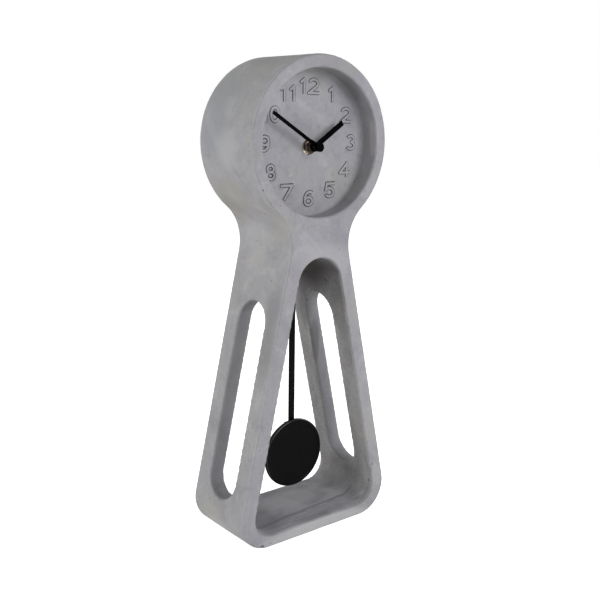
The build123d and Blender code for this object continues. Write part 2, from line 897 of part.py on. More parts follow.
def pendulum_housing():
    """Cap over the hanger's head and the pendulum coil, open at the bottom."""
    rear = plate_rear + housing_depth
    bottom = shaft_z + housing_bottom
    top = shaft_z + housing_top
    side = housing_half_width
    shell = block(-side, side, plate_rear, rear, bottom, top)
    inner = side - shell_wall
    shell -= block(-inner, inner, plate_rear, rear - shell_wall, bottom, top - shell_wall)
    return shell - disc(0, hanger_pin_z, hanger_pin_radius, plate_rear, rear)


def pendulum_coil():
    rear = plate_rear + housing_depth - shell_wall
    front = rear - pendulum_coil_thickness
    return ring(0, hanger_pin_z + magnet_height, pendulum_coil_radius, pendulum_coil_bore, front, rear)


# Pendulum


def hanger_pivot_pin():
    return disc(0, hanger_pin_z, hanger_pin_radius, plate_rear, plate_rear + housing_depth)


def pendulum_hanger():
    """Arm that swings on the pin, with the peg that takes the hook plate."""
    bottom = shaft_z + hanger_end
    top = hanger_pin_z + magnet_height
    half = hanger_width / 2
    body = block(-half, half, rod_front, rod_rear, bottom, top)
    body += disc(0, top, hanger_head_radius, rod_front, rod_rear)
    body += disc(0, hanger_pin_z, hanger_head_radius, rod_front, rod_rear)
    body -= disc(0, top, magnet_radius, rod_front, rod_rear)
    body -= disc(0, hanger_pin_z, hanger_pin_radius + running_clearance, rod_front, rod_rear)
    peg_z = shaft_z + hanger_peg_height
    return body + disc(0, peg_z, hanger_peg_radius, rod_rear, rod_rear + hanger_peg_reach)


def hanger_magnet():
    return disc(0, hanger_pin_z + magnet_height, magnet_radius, rod_front, rod_rear)


def rod_top():
    return shaft_z + hanger_end - rod_gap


def hook_plate():
    """Flat link from the hanger's peg to the top of the rod."""
    half = hook_width / 2
    bottom = rod_top() - hook_overlap
    peg_z = shaft_z + hanger_peg_height
    rear = rod_rear + hook_thickness
    body = block(-half, half, rod_rear, rear, bottom, peg_z)
    body += disc(0, peg_z, half, rod_rear, rear)
    body -= disc(0, peg_z, hanger_peg_radius, rod_rear, rear)
    for height in rivet_heights():
        body -= disc(0, height, hook_rivet_radius, rod_rear, rear)
    return body


def rivet_heights():
    middle = rod_top() - hook_overlap / 2
    return (middle - hook_rivet_spacing / 2, middle + hook_rivet_spacing / 2)


def hook_rivets():
    """Two rivets that fasten the link to the rod."""
    rivets = []
    for height in rivet_heights():
        rear = rod_rear + hook_thickness
        shank = disc(0, height, hook_rivet_radius, rod_front, rear)
        rivets.append(shank + disc(0, height, hook_rivet_head_radius, rear, rear + hook_rivet_head_height))
    return Compound(children=rivets)


def pendulum_rod():
    """Flat bar with rounded edges, which runs behind the bob."""
    bottom = bob_height + bob_radius - rod_overlap
    length = rod_top() - bottom
    section = RectangleRounded(rod_width, rod_thickness, rod_thickness / 2 - running_clearance)
    middle = (rod_front + rod_rear) / 2
    body = Pos(0, middle, bottom) * extrude(section, amount=length)
    for height in rivet_heights():
        body -= disc(0, height, hook_rivet_radius, rod_front, rod_rear)
    return body


def pendulum_bob():
    body = disc(0, bob_height, bob_radius, rod_front - bob_thickness, rod_front)
    return fillet(body.edges().filter_by(GeomType.CIRCLE), bob_edge_radius)


def bob_clip():
    """Saddle on the rear of the bob that holds the rod."""
    top = bob_height + bob_radius - bob_edge_radius - clip_wall
    bottom = top - clip_height
    half = clip_width / 2
    body = block(-half, half, rod_front, rod_rear + clip_wall, bottom, top)
    groove = rod_width / 2
    return body - block(-groove, groove, rod_front, rod_rear, bottom, top)


pieces = {
    "concrete_case": concrete_case,
    "threaded_bushing": threaded_bushing,
    "rubber_washer": rubber_washer,
    "brass_washer": brass_washer,
    "brass_nut": brass_nut,
    "hour_hand": hour_hand,
    "minute_hand": minute_hand,
    "hand_cap_nut": hand_cap_nut,
    "hour_wheel": hour_wheel,
    "cannon_pinion": cannon_pinion,
    "minute_wheel": minute_wheel,
    "setting_knob": setting_knob,
    "centre_wheel": centre_wheel,
    "third_wheel": third_wheel,
    "fourth_wheel": fourth_wheel,
    "fifth_wheel": fifth_wheel,
    "rotor_pinion": rotor_pinion,
    "rotor_magnet": rotor_magnet,
    "stator": stator,
    "coil_core": coil_core,
    "coil_bobbin": coil_bobbin,
    "drive_coil": drive_coil,
    "circuit_board": circuit_board,
    "quartz_crystal": quartz_crystal,
    "battery": battery,
    "battery_plate_contact": battery_plate_contact,
    "battery_leaf_contact": battery_leaf_contact,
    "movement_front_shell": movement_front_shell,
    "movement_back_shell": movement_back_shell,
    "pendulum_coil": pendulum_coil,
    "hanger_pivot_pin": hanger_pivot_pin,
    "pendulum_hanger": pendulum_hanger,
    "hanger_magnet": hanger_magnet,
    "hook_plate": hook_plate,
    "hook_rivets": hook_rivets,
    "pendulum_rod": pendulum_rod,
    "pendulum_bob": pendulum_bob,
    "bob_clip": bob_clip,
}

os.makedirs("parts", exist_ok=True)
for name, make in pieces.items():
    export_step(make(), "parts/" + name + ".step")
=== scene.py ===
import math

import bmesh
import bpy
from bmesh import ops
from mathutils import Matrix, Vector, noise
from mathutils.bvhtree import BVHTree


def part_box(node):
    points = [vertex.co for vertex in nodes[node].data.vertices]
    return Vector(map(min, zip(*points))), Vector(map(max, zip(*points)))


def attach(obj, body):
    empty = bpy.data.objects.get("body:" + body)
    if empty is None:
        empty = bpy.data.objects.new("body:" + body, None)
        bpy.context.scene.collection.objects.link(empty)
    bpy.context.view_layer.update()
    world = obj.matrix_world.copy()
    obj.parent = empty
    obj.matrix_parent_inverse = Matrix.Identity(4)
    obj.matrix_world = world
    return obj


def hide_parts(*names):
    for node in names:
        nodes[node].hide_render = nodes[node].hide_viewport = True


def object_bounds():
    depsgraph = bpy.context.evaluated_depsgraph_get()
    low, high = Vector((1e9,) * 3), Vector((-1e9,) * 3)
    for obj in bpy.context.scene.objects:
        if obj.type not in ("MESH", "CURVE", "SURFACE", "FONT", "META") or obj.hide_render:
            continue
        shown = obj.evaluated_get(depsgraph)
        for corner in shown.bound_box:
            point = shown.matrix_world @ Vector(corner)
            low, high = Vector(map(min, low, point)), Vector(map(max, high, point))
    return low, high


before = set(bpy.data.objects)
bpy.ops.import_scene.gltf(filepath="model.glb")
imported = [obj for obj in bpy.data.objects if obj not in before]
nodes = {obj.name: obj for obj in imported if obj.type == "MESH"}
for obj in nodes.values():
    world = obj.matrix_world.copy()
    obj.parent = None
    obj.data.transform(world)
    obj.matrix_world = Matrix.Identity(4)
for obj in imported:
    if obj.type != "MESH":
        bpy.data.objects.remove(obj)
cad_bounds = [list(corner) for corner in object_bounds()]

# Sizes of the dressed pieces are in millimetres and are turned into metres by MM.
# Numbers inside a material are in metres, or are shares from 0 to 1.
MM = 0.001


def middle(node):
    """The middle of a CAD node's box."""
    low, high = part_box(node)
    return (low + high) / 2


def depths(node):
    """Front and rear of a CAD node's box in millimetres."""
    low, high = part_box(node)
    return low.y / MM, high.y / MM


HEAD_RADIUS = 81.995
RECESS_RIM = 12.3
RECESS_RADIUS = HEAD_RADIUS - RECESS_RIM
SHAFT = middle("brass_nut")
HEAD = Vector((0, 0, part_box("concrete_case")[1].z - HEAD_RADIUS * MM))
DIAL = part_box("brass_washer")[1].y


# Shading helpers


def given(node, values):
    """Sets a node's inputs by name or number, each to a value or to another node's socket."""
    for key, value in dict(values).items():
        if isinstance(value, bpy.types.NodeSocket):
            value.id_data.links.new(value, node.inputs[key])
        else:
            node.inputs[key].default_value = value
    return node


def add(source, kind, values=(), **settings):
    """A new node in a tree or beside one of its sockets, with its inputs and its own settings."""
    node = source.id_data.nodes.new("ShaderNode" + kind)
    for key, value in settings.items():
        setattr(node, key, value)
    return given(node, values)


def split(vector):
    """The X, Y and Z of a vector, by name."""
    return add(vector, "SeparateXYZ", {0: vector}).outputs


def facing(source):
    """The X, Y and Z of the surface's own direction, by name."""
    return split(add(source, "NewGeometry").outputs["Normal"])


def mapped(vector, **values):
    """A vector moved, turned or scaled by a Mapping node's own inputs."""
    return add(vector, "Mapping", {"Vector": vector, **values}).outputs["Vector"]


def grown(vector, scale, detail=4, roughness=0.55, distortion=0, stretch=None, shift=(0, 0, 0)):
    """Noise whose lumps are about one over scale metres wide; stretch makes them long along an axis."""
    if stretch or shift != (0, 0, 0):
        vector = mapped(vector, Location=shift, Scale=stretch or (1, 1, 1))
    values = {"Scale": scale, "Detail": detail, "Roughness": roughness, "Distortion": distortion}
    return add(vector, "TexNoise", {"Vector": vector, **values}).outputs["Fac"]


def spread(value, low, high, start=0, end=1, smooth=True):
    """Maps low..high of a value to start..end and stops there."""
    values = {"Value": value, "From Min": low, "From Max": high, "To Min": start, "To Max": end}
    kind = "SMOOTHSTEP" if smooth else "LINEAR"
    return add(value, "MapRange", values, clamp=True, interpolation_type=kind).outputs["Result"]


def reckoned(kind, first, *others):
    """Works a sum, product or the like along a row of sockets and numbers; the first is a socket."""
    for second in others:
        first = add(first, "Math", {0: first, 1: second}, operation=kind).outputs[0]
    return first


def plus(*values):
    return reckoned("ADD", *values)


def less(first, second):
    return reckoned("SUBTRACT", first, second)


def times(*values):
    return reckoned("MULTIPLY", *values)


def larger(*values):
    return reckoned("MAXIMUM", *values)


def unsigned(value):
    return reckoned("ABSOLUTE", value, 0)


def tinted(share, first, second):
    """Mixes two colours by a share; each is a colour or a socket."""
    first, second = ((*side, 1) if isinstance(side, tuple) else side for side in (first, second))
    sides = {0: share, 6: first, 7: second}
    return add(share, "Mix", sides, data_type="RGBA", clamp_factor=True).outputs[2]


def washed(colour, mask, strength, shade):
    """Lays a shade over a colour where a mask is, at a strength that is a number or a socket."""
    return tinted(times(mask, strength), colour, shade)


def effect(name, amount, usual, outputs):
    """An empty node group with a vector and one amount: its tree, its inputs and its last node."""
    tree = bpy.data.node_groups.new(name, "ShaderNodeTree")
    tree.interface.new_socket(name="Vector", in_out="INPUT", socket_type="NodeSocketVector")
    made = tree.interface.new_socket(name=amount, in_out="INPUT", socket_type="NodeSocketFloat")
    made.default_value = usual
    for socket in outputs:
        tree.interface.new_socket(name=socket, in_out="OUTPUT", socket_type="NodeSocketFloat")
    return tree, tree.nodes.new("NodeGroupInput").outputs, tree.nodes.new("NodeGroupOutput")


def grain_effect():
    """Fine moulded or sprayed grain, and faint cloudiness."""
    tree, source, out = effect("fine_grain", "Scale", 2000, ("Height", "Cloud"))
    fine = {"Vector": source["Vector"], "Scale": source["Scale"], "Detail": 3, "Roughness": 0.6}
    height = add(tree, "TexNoise", fine).outputs["Fac"]
    given(out, {"Height": height, "Cloud": grown(source["Vector"], 60, 5)})
    return tree


def scratch_effect():
    """Hairlines in three directions, as handling leaves them on metal."""
    tree, source, out = effect("hairlines", "Amount", 1, ("Lines", "Height"))
    thin = []
    for stretch, shift in (((1, 24, 1), (0, 0, 0)), ((20, 1, 2), (3, 1, 2)), ((1, 2, 26), (1, 5, 4))):
        lines = grown(source["Vector"], 900, 2, stretch=stretch, shift=shift)
        thin.append(spread(lines, 0.6, 0.72))
    marks = times(larger(*thin), source["Amount"])
    given(out, {"Lines": marks, "Height": times(marks, -1)})
    return tree


def dust_effect():
    """Light dust that settles on what faces up."""
    tree, source, out = effect("settled_dust", "Amount", 1, ("Mask",))
    upward = spread(facing(tree)["Z"], 0.1, 1)
    specks = spread(grown(source["Vector"], 700, 6, 0.7), 0.5, 0.8)
    given(out, {"Mask": times(upward, specks, source["Amount"])})
    return tree


GRAIN = grain_effect()
HAIRLINES = scratch_effect()
DUST = dust_effect()


def placed(group, vector, **values):
    """A node group in a material, with its values by name."""
    return add(vector, "Group", {"Vector": vector, **values}, node_tree=group).outputs


FINISHES = {}


def finish_named(name):
    """A new material, kept under its name: its shader and its object coordinates."""
    made = bpy.data.materials.new(name)
    made.use_nodes = True
    FINISHES[name] = made
    tree = made.node_tree
    return tree.nodes["Principled BSDF"], add(tree, "TexCoord").outputs["Object"]


def bumped(height, depth, strength=1):
    """The direction of a surface that has a relief of some depth in metres."""
    values = {"Height": height, "Distance": depth, "Strength": strength}
    return add(height, "Bump", values).outputs["Normal"]


def dressed(shader, colour, roughness, normal, metallic=0, specular=0.5):
    """Gives a shader its looks."""
    given(shader, {"Base Color": colour, "Roughness": roughness, "Normal": normal})
    given(shader, {"Metallic": metallic, "Specular IOR Level": specular})


# Concrete


def pores(vector, scale, kept, size):
    """Round air holes; kept is the share of cells that have one."""
    cells = add(vector, "TexVoronoi", {"Vector": vector, "Scale": scale, "Randomness": 1}).outputs
    lottery = add(vector, "SeparateColor", {0: cells["Color"]}).outputs
    chosen = spread(lottery[0], 1 - kept, 1 - kept + 0.01)
    radius = spread(lottery[1], 0, 1, size * 0.4, size)
    inside = less(radius, cells["Distance"])
    return times(spread(inside, 0, size * 0.35), chosen)


LARGE_MARK = 7
LARGE_MARK_SPREAD = 1.15


def spot(vector, place, size):
    """One ellipsoid at a place in millimetres, with its half sizes; a large one fades softly."""
    solid = 0.6
    if min(size) > LARGE_MARK:
        solid = 0.3
        size = tuple(s * LARGE_MARK_SPREAD for s in size)
    scale = tuple(1 / (s * MM) for s in size)
    shift = tuple(-p / s for p, s in zip(place, size))
    offset = mapped(vector, Location=shift, Scale=scale)
    length = add(vector, "VectorMath", {0: offset}, operation="LENGTH")
    return spread(length.outputs["Value"], solid, 1, 1, 0)


def sheltered(vector):
    """Masks of the walls of the opening, its crown, its floor and the slots' rear walls, where painted
    shade goes.
    """
    place, turned_to = split(vector), facing(vector)
    inward = spread(times(place["X"], turned_to["X"]), -0.003, -0.015)
    below_head = spread(place["Z"], 0.29, 0.3, 1, 0)
    wall = times(inward, below_head)
    downward = spread(turned_to["Z"], 0, -0.5)
    crown = times(larger(downward, times(wall, 0.45)), below_head)
    crown = times(crown, spread(place["Z"], 0.215, 0.275))
    near_base = spread(place["Z"], 0.05, 0.03)
    floor = times(spread(turned_to["Z"], 0.35, 0.85), near_base)
    behind = spread(place["Y"], 0, 0.004)
    slot_wall = times(spread(turned_to["Y"], -0.3, -0.9), behind, below_head)
    return wall, crown, floor, slot_wall


def mould_seam(vector):
    """A ragged line across the base's top, where the mould's halves met: line and strip in front."""
    place = split(vector)
    wander = times(grown(vector, 60, 6, 0.68), 0.009)
    slanted = plus(times(place["X"], 0.074), -0.0257)
    offset = less(place["Y"], plus(slanted, wander))
    return spread(unsigned(offset), 0.0002, 0.004, 1, 0), spread(offset, 0, -0.003)


def rounded_edges(vector):
    """Masks of the front and rear edges: a painted highlight where they turn to the side, and painted
    shade where they turn to the face.
    """
    toward = unsigned(facing(vector)["Y"])
    outer = spread(unsigned(split(vector)["Y"]), 0.036, 0.039)
    outer = times(outer, spread(grown(vector, 38, 4), 0.36, 0.62, 0.25, 1))
    edge_highlight = times(spread(toward, 0.08, 0.3), spread(toward, 0.4, 0.6, 1, 0))
    edge_shade = times(spread(toward, 0.52, 0.72), spread(toward, 0.86, 0.97, 1, 0))
    return times(edge_highlight, outer), times(edge_shade, outer)


def cast_colour(vector, mottle, sand):
    """The colour all over the casting: clouds, drifts, stains, streaks, mottle, sand and scuffs."""
    clouds = grown(vector, 10, 4, 0.55, 0.5)
    drift = grown(vector, 24, 5, 0.6, 0.9, shift=(0.3, 0.1, 0.7))
    stain = grown(vector, 17, 3, 0.5, 0.6, shift=(0.9, 0.4, 0.2))
    streaks = grown(vector, 26, 5, 0.65, stretch=(5, 5, 0.5))
    scuffs = grown(vector, 130, 3, 0.6, 1.2, stretch=(1, 3, 0.35), shift=(0.2, 0.8, 0.5))
    colour = tinted(spread(clouds, 0.42, 0.6), (0.35, 0.346, 0.364), (0.353, 0.355, 0.361))
    # Each layer: its noise, the stretch of it that fades, the strengths at both ends, and its colour.
    layers = (
        (drift, 0.52, 0.68, 0, 0.66, (0.44, 0.438, 0.444)),
        (drift, 0.32, 0.48, 0.66, 0, (0.275, 0.282, 0.298)),
        (stain, 0.54, 0.68, 0, 0.45, (0.372, 0.362, 0.335)),
        (streaks, 0.55, 0.75, 0, 0.26, (0.43, 0.43, 0.437)),
        (streaks, 0.28, 0.45, 0.26, 0, (0.26, 0.26, 0.27)),
        (mottle, 0.3, 0.48, 0.42, 0, (0.245, 0.243, 0.25)),
        (mottle, 0.54, 0.72, 0, 0.42, (0.47, 0.468, 0.475)),
        (sand, 0.27, 0.44, 0.5, 0, (0.17, 0.17, 0.175)),
        (scuffs, 0.66, 0.76, 0, 0.45, (0.52, 0.52, 0.525)),
    )
    for value, low, high, start, end, shade in layers:
        colour = tinted(spread(value, low, high, start, end), colour, shade)
    return colour


def sheltered_colour(vector, colour):
    """Painted shade inside the opening: darker brown gritty walls, a darker clouded floor, darker slot
    walls and a dark crown; the floor's seam and scored lines are real.
    """
    wall, crown, floor, slot_wall = sheltered(vector)
    line, strip = mould_seam(vector)
    before_seam = times(floor, strip)
    drawn = grown(vector, 36, 7, 0.64, 0.9, stretch=(1.2, 1.6, 0.9))
    shaded_brown = tinted(spread(drawn, 0.34, 0.66), (0.232, 0.223, 0.216), (0.358, 0.352, 0.349))
    grit = grown(vector, 430, 5, 0.78, shift=(0.5, 0.7, 0.1))
    clouded = grown(vector, 30, 7, 0.6, 0.5, stretch=(0.9, 1.3, 1), shift=(0.4, 0.2, 0.6))
    shaded_floor = tinted(spread(clouded, 0.32, 0.68), (0.176, 0.172, 0.184), (0.304, 0.299, 0.314))
    scored = grown(vector, 130, 5, 0.65, 0.2, stretch=(0.13, 3.4, 1))
    # Each layer: its mask, its strength and its colour; the wall, floor, slot wall and crown colours are
    # painted shade, while the grit, scored lines and seam line are real.
    layers = (
        (wall, 0.58, shaded_brown),
        (wall, spread(grit, 0.36, 0.5, 0.4, 0), (0.125, 0.12, 0.118)),
        (wall, spread(grit, 0.51, 0.64, 0, 0.38), (0.4, 0.392, 0.386)),
        (floor, 0.78, shaded_floor),
        (before_seam, spread(scored, 0.53, 0.66, 0, 0.6), (0.36, 0.36, 0.368)),
        (before_seam, spread(scored, 0.32, 0.46, 0.4, 0), (0.12, 0.12, 0.126)),
        (times(floor, line), 0.5, (0.09, 0.09, 0.095)),
        (slot_wall, 0.4, (0.225, 0.225, 0.232)),
        (crown, 0.66, (0.105, 0.098, 0.095)),
    )
    for mask, strength, shade in layers:
        colour = washed(colour, mask, strength, shade)
    return colour


def grime(vector, share):
    """Mask of patchy dirt and painted shade that is a little heavier low on the dial."""
    patchy = spread(grown(vector, 170, 3, shift=(0.6, 0.2, 0.9)), 0.38, 0.6, 0.8, 1.12)
    lower = spread(split(vector)["Z"], 0.345, 0.435, 1.04, 0.94)
    return times(patchy, lower, share)


def concrete_finish(name, grime_and_shade_share=0):
    """Fair-faced cast concrete, with painted highlight and shade on its edges, painted shade inside the
    opening, and painted shade and light among its marks; the last argument is the share of dirt and
    painted shade that it has all over.
    """
    shader, vector = finish_named(name)
    mottle = grown(vector, 170, 7, 0.68)
    sand = grown(vector, 1300, 3, 0.7)
    holes = larger(pores(vector, 260, 0.022, 0.26), pores(vector, 70, 0.012, 0.11))
    colour = sheltered_colour(vector, cast_colour(vector, mottle, sand))
    edge_highlight, edge_shade = rounded_edges(vector)
    # Painted highlight on the edges' side parts and painted shade on their face parts.
    colour = washed(colour, edge_highlight, 0.3, (0.5, 0.5, 0.505))
    colour = washed(colour, edge_shade, 0.36, (0.2, 0.2, 0.208))
    colour = washed(colour, holes, 0.75, (0.1, 0.1, 0.102))
    # Single marks, some of them painted shade or painted light.
    for place, size, share, shade in MARKS_AND_PAINTED_LIGHT:
        colour = washed(colour, spot(vector, place, size), share, shade)
    # Dark dirt and painted shade all over, for the numerals' walls and the skirt at their feet.
    if grime_and_shade_share:
        colour = tinted(grime(vector, grime_and_shade_share), colour, (0.03, 0.03, 0.032))
    swell = times(grown(vector, 90, 4), 0.3)
    height = less(plus(swell, times(sand, 0.12)), times(holes, 0.9))
    rough = spread(mottle, 0.3, 0.7, 0.78, 0.95)
    dressed(shader, colour, rough, bumped(height, 0.9 * MM, 0.8), specular=0.25)


# Single marks on the casting, some of them painted shade or painted light as noted: place and half sizes
# in millimetres, share and colour.
MARKS_AND_PAINTED_LIGHT = (
    ((-36.4, 11.6, 297.4), (4, 3.2, 0.7), 0.7, (0.12, 0.12, 0.12)),
    ((-38, 20, 299), (4, 5.5, 0.5), 0.35, (0.17, 0.17, 0.17)),
    ((-58.4, -27.2, 191.5), (4, 3, 0.8), 0.7, (0.62, 0.62, 0.61)),
    ((-81.1, 16.8, 404.6), (22, 26, 34), 0.55, (0.27, 0.29, 0.32)),
    ((-82, -4, 388), (16, 22, 22), 0.45, (0.46, 0.455, 0.462)),
    ((-64, 12, 347), (20, 34, 24), 0.7, (0.335, 0.326, 0.3)),
    ((-69, 20, 440), (30, 34, 32), 0.55, (0.28, 0.3, 0.316)),
    # Painted shade on the top of the head.
    ((-10, 4, 472), (50, 42, 16), 0.5, (0.295, 0.297, 0.308)),
    ((0, -43.4, 470), (42, 8, 16), 0.5, (0.285, 0.28, 0.296)),
    ((-52, 30, 326), (22, 20, 24), 0.6, (0.29, 0.28, 0.255)),
    ((-38, 8, 280), (9, 16, 15), 0.4, (0.44, 0.434, 0.41)),
    # Painted shade on the left leg's front beside the opening.
    ((-47, -31, 238), (11, 15, 30), 0.62, (0.235, 0.24, 0.254)),
    ((-56, -30, 196), (12, 16, 60), 0.72, (0.235, 0.239, 0.248)),
    ((-92, 10, 27), (14, 22, 16), 0.45, (0.41, 0.392, 0.352)),
    # Painted light low on the left side.
    ((-93, 6, 8), (12, 46, 17), 0.8, (0.48, 0.478, 0.48)),
    # Painted light along the bottom of the front face.
    ((0, -43.4, 3), (86, 6, 12), 0.6, (0.54, 0.55, 0.538)),
    ((8, -43.4, 283), (40, 8, 18), 0.55, (0.44, 0.437, 0.442)),
    ((-35, 10, 302), (13, 30, 22), 0.4, (0.45, 0.448, 0.452)),
    # Painted light on the right wall of the recess.
    ((66, -32, 402), (12, 13, 48), 0.2, (0.5, 0.492, 0.502)),
    ((68.5, -38.5, 397.5), (6.9, 6.5, 22), 0.62, (0.54, 0.52, 0.535)),
    # Painted shadow of the rim on the upper right of the dial and on the recess's upper wall.
    ((49, -26, 447), (21, 14, 22), 0.62, (0.18, 0.176, 0.184)),
    ((28, -32, 456), (46, 15, 22), 0.5, (0.205, 0.203, 0.208)),
    ((62, -36, 105), (26, 12, 74), 0.38, (0.43, 0.426, 0.422)),
    # Painted shade in the crown of the opening.
    ((20, 8, 268), (20, 42, 34), 0.84, (0.05, 0.042, 0.038)),
    ((-18, 8, 268), (20, 42, 34), 0.7, (0.07, 0.062, 0.058)),
    ((30, 22, 243), (9, 10, 12), 0.45, (0.15, 0.142, 0.138)),
    # Painted shade on the right leg's inner wall.
    ((36, 27, 216), (9, 12, 28), 0.6, (0.19, 0.182, 0.178)),
    ((38.5, -36, 205), (7.5, 8, 24), 0.38, (0.24, 0.235, 0.235)),
    ((26, -20.8, 256.5), (2.2, 1.1, 1.1), 0.95, (0.02, 0.02, 0.02)),
    ((26.8, -19.5, 252), (2.2, 0.7, 0.8), 0.6, (0.06, 0.055, 0.05)),
    ((47, 22, 178), (9, 1.3, 34), 0.45, (0.1, 0.095, 0.09)),
    ((43, 24.6, 190), (9, 1.2, 26), 0.4, (0.47, 0.455, 0.43)),
    ((33, 20, 232), (6, 1.3, 9), 0.4, (0.12, 0.11, 0.1)),
    # Painted shade on the floor of the opening by the left leg.
    ((-50, -8, 14), (24, 30, 6), 0.4, (0.125, 0.123, 0.132)),
    # Painted light in the middle of the opening's floor.
    ((6, 12, 13.5), (42, 25, 6), 0.52, (0.33, 0.328, 0.336)),
    # Painted shade in the corner between the right leg's inner wall and the floor.
    ((74, 8, 28), (24, 30, 30), 0.52, (0.125, 0.123, 0.13)),
    ((84, -36, 46), (14, 9, 28), 0.7, (0.54, 0.54, 0.54)),
    ((71.4, -34.2, 19.6), (6, 2.2, 4), 0.35, (0.5, 0.5, 0.5)),
    ((76.3, -43.4, 53.8), (1.3, 1.6, 1.6), 0.75, (0.09, 0.09, 0.09)),
    ((77.4, -41, 46), (1.6, 1.2, 1.4), 0.65, (0.1, 0.1, 0.1)),
    ((76.4, -38.8, 34), (1.8, 1.3, 2.4), 0.65, (0.11, 0.11, 0.11)),
    ((-69.6, -43.4, 3.2), (3.4, 3, 2), 0.8, (0.1, 0.1, 0.1)),
    ((-24.5, -22.2, 340.5), (9, 3, 7.5), 0.22, (0.2, 0.195, 0.205)),
    ((-33, -22.2, 352), (5, 3, 4), 0.28, (0.2, 0.195, 0.205)),
    ((-41.5, -22.2, 363), (4, 3, 7), 0.38, (0.18, 0.175, 0.185)),
    ((-4.5, -22.2, 337.5), (4.5, 3, 6.5), 0.26, (0.2, 0.195, 0.205)),
    ((22, -22.2, 345.5), (4, 3, 6.5), 0.28, (0.2, 0.195, 0.205)),
    ((49, -22.2, 386), (4, 3, 5), 0.24, (0.21, 0.205, 0.215)),
    ((-59, -43.4, 4.2), (2.6, 2, 0.9), 0.5, (0.16, 0.16, 0.16)),
)


# Metals, paint, plastics and rubber


def metal_finish(name, colour, worn, roughness, scratches=0.5, glints=()):
    """Bare metal: cloudy tarnish in the colour, hairlines in the roughness; glints are places with a
    painted highlight.
    """
    shader, vector = finish_named(name)
    grain = placed(GRAIN, vector, Scale=1800)
    lines = placed(HAIRLINES, vector, Amount=scratches)
    shade = tinted(spread(grain["Cloud"], 0.38, 0.66), colour, worn)
    # Painted highlight at each glint.
    for place, size in glints:
        shade = washed(shade, spot(vector, place, size), 0.9, (0.8, 0.72, 0.62))
    base = spread(grain["Cloud"], 0.3, 0.7, roughness * 0.8, roughness * 1.35)
    rough = plus(base, times(lines["Lines"], 0.15))
    dressed(shader, shade, rough, bumped(lines["Height"], 0.02 * MM, 0.5), metallic=1)


def coated_finish(name, colour, roughness, specular, grain_scale, grain_depth, dust):
    """Paint, plastic or rubber: fine grain, slightly uneven gloss and a little dust."""
    shader, vector = finish_named(name)
    grain = placed(GRAIN, vector, Scale=grain_scale)
    settled = placed(DUST, vector, Amount=dust)["Mask"]
    pale = tuple(min(1, c * 1.45 + 0.0004) for c in colour)
    shade = tinted(spread(grain["Cloud"], 0.35, 0.7), colour, pale)
    shade = tinted(settled, shade, (0.32, 0.31, 0.3))
    rough = plus(spread(grain["Cloud"], 0.3, 0.7, roughness * 0.88, roughness * 1.15), settled)
    normal = bumped(grain["Height"], grain_depth * MM, 0.6)
    dressed(shader, shade, rough, normal, specular=specular)


def wound_finish(name, colour, dark, pitch):
    """Fine enamelled wire laid turn by turn along X."""
    shader, vector = finish_named(name)
    values = {"Vector": vector, "Scale": 1 / (pitch * MM) / 6.2832, "Distortion": 0.4}
    turns = add(vector, "TexWave", values).outputs["Fac"]
    rough = spread(placed(GRAIN, vector, Scale=900)["Cloud"], 0.3, 0.7, 0.25, 0.45)
    normal = bumped(turns, pitch * MM * 0.4)
    dressed(shader, tinted(turns, dark, colour), rough, normal, metallic=0.85)


def board_finish(name):
    """Green solder mask with paler tracks under it."""
    shader, vector = finish_named(name)
    values = {"Vector": mapped(vector, Rotation=(math.radians(90), 0, 0)), "Scale": 260}
    bricks = {"Mortar Size": 0.06, "Mortar Smooth": 0.2, "Row Height": 0.5, "Brick Width": 1.4}
    tracks = add(vector, "TexBrick", {**values, **bricks}).outputs["Fac"]
    green = tinted(tracks, (0.012, 0.11, 0.035), (0.05, 0.24, 0.08))
    rough = spread(placed(GRAIN, vector, Scale=1200)["Cloud"], 0.3, 0.7, 0.28, 0.42)
    dressed(shader, green, rough, bumped(tracks, 0.03 * MM))


# Places on the nut and washer with a painted highlight: place and half sizes in millimetres.
PAINTED_BRASS_HIGHLIGHTS = (
    ((-3.5, -26, 395.2), (2.1, 1.4, 1.5)),
    ((-5.6, -23, 384.6), (2.2, 1.2, 2.6)),
    ((-3.2, -23, 382.8), (2.2, 1.2, 1.4)),
)

# Metals: name, colour, worn colour, roughness, scratches and places with a painted highlight.
METALS = (
    ("aged_brass", (0.034, 0.024, 0.017), (0.08, 0.06, 0.045), 0.22, 0.5, PAINTED_BRASS_HIGHLIGHTS),
    ("dark_brass_thread", (0.02, 0.015, 0.011), (0.045, 0.034, 0.026), 0.26),
    ("brass_edge", (0.16, 0.125, 0.098), (0.07, 0.053, 0.04), 0.24, 0.5, PAINTED_BRASS_HIGHLIGHTS),
    ("worn_brass_edge", (0.34, 0.29, 0.24), (0.11, 0.085, 0.065), 0.2, 0.5, PAINTED_BRASS_HIGHLIGHTS),
    ("ground_steel", (0.62, 0.61, 0.6), (0.45, 0.44, 0.43), 0.28),
    ("soft_iron_sheet", (0.42, 0.42, 0.43), (0.3, 0.3, 0.31), 0.4),
    ("plated_contact", (0.74, 0.72, 0.68), (0.6, 0.58, 0.54), 0.18),
    ("dark_magnet", (0.16, 0.16, 0.17), (0.1, 0.1, 0.11), 0.36, 0.8),
)

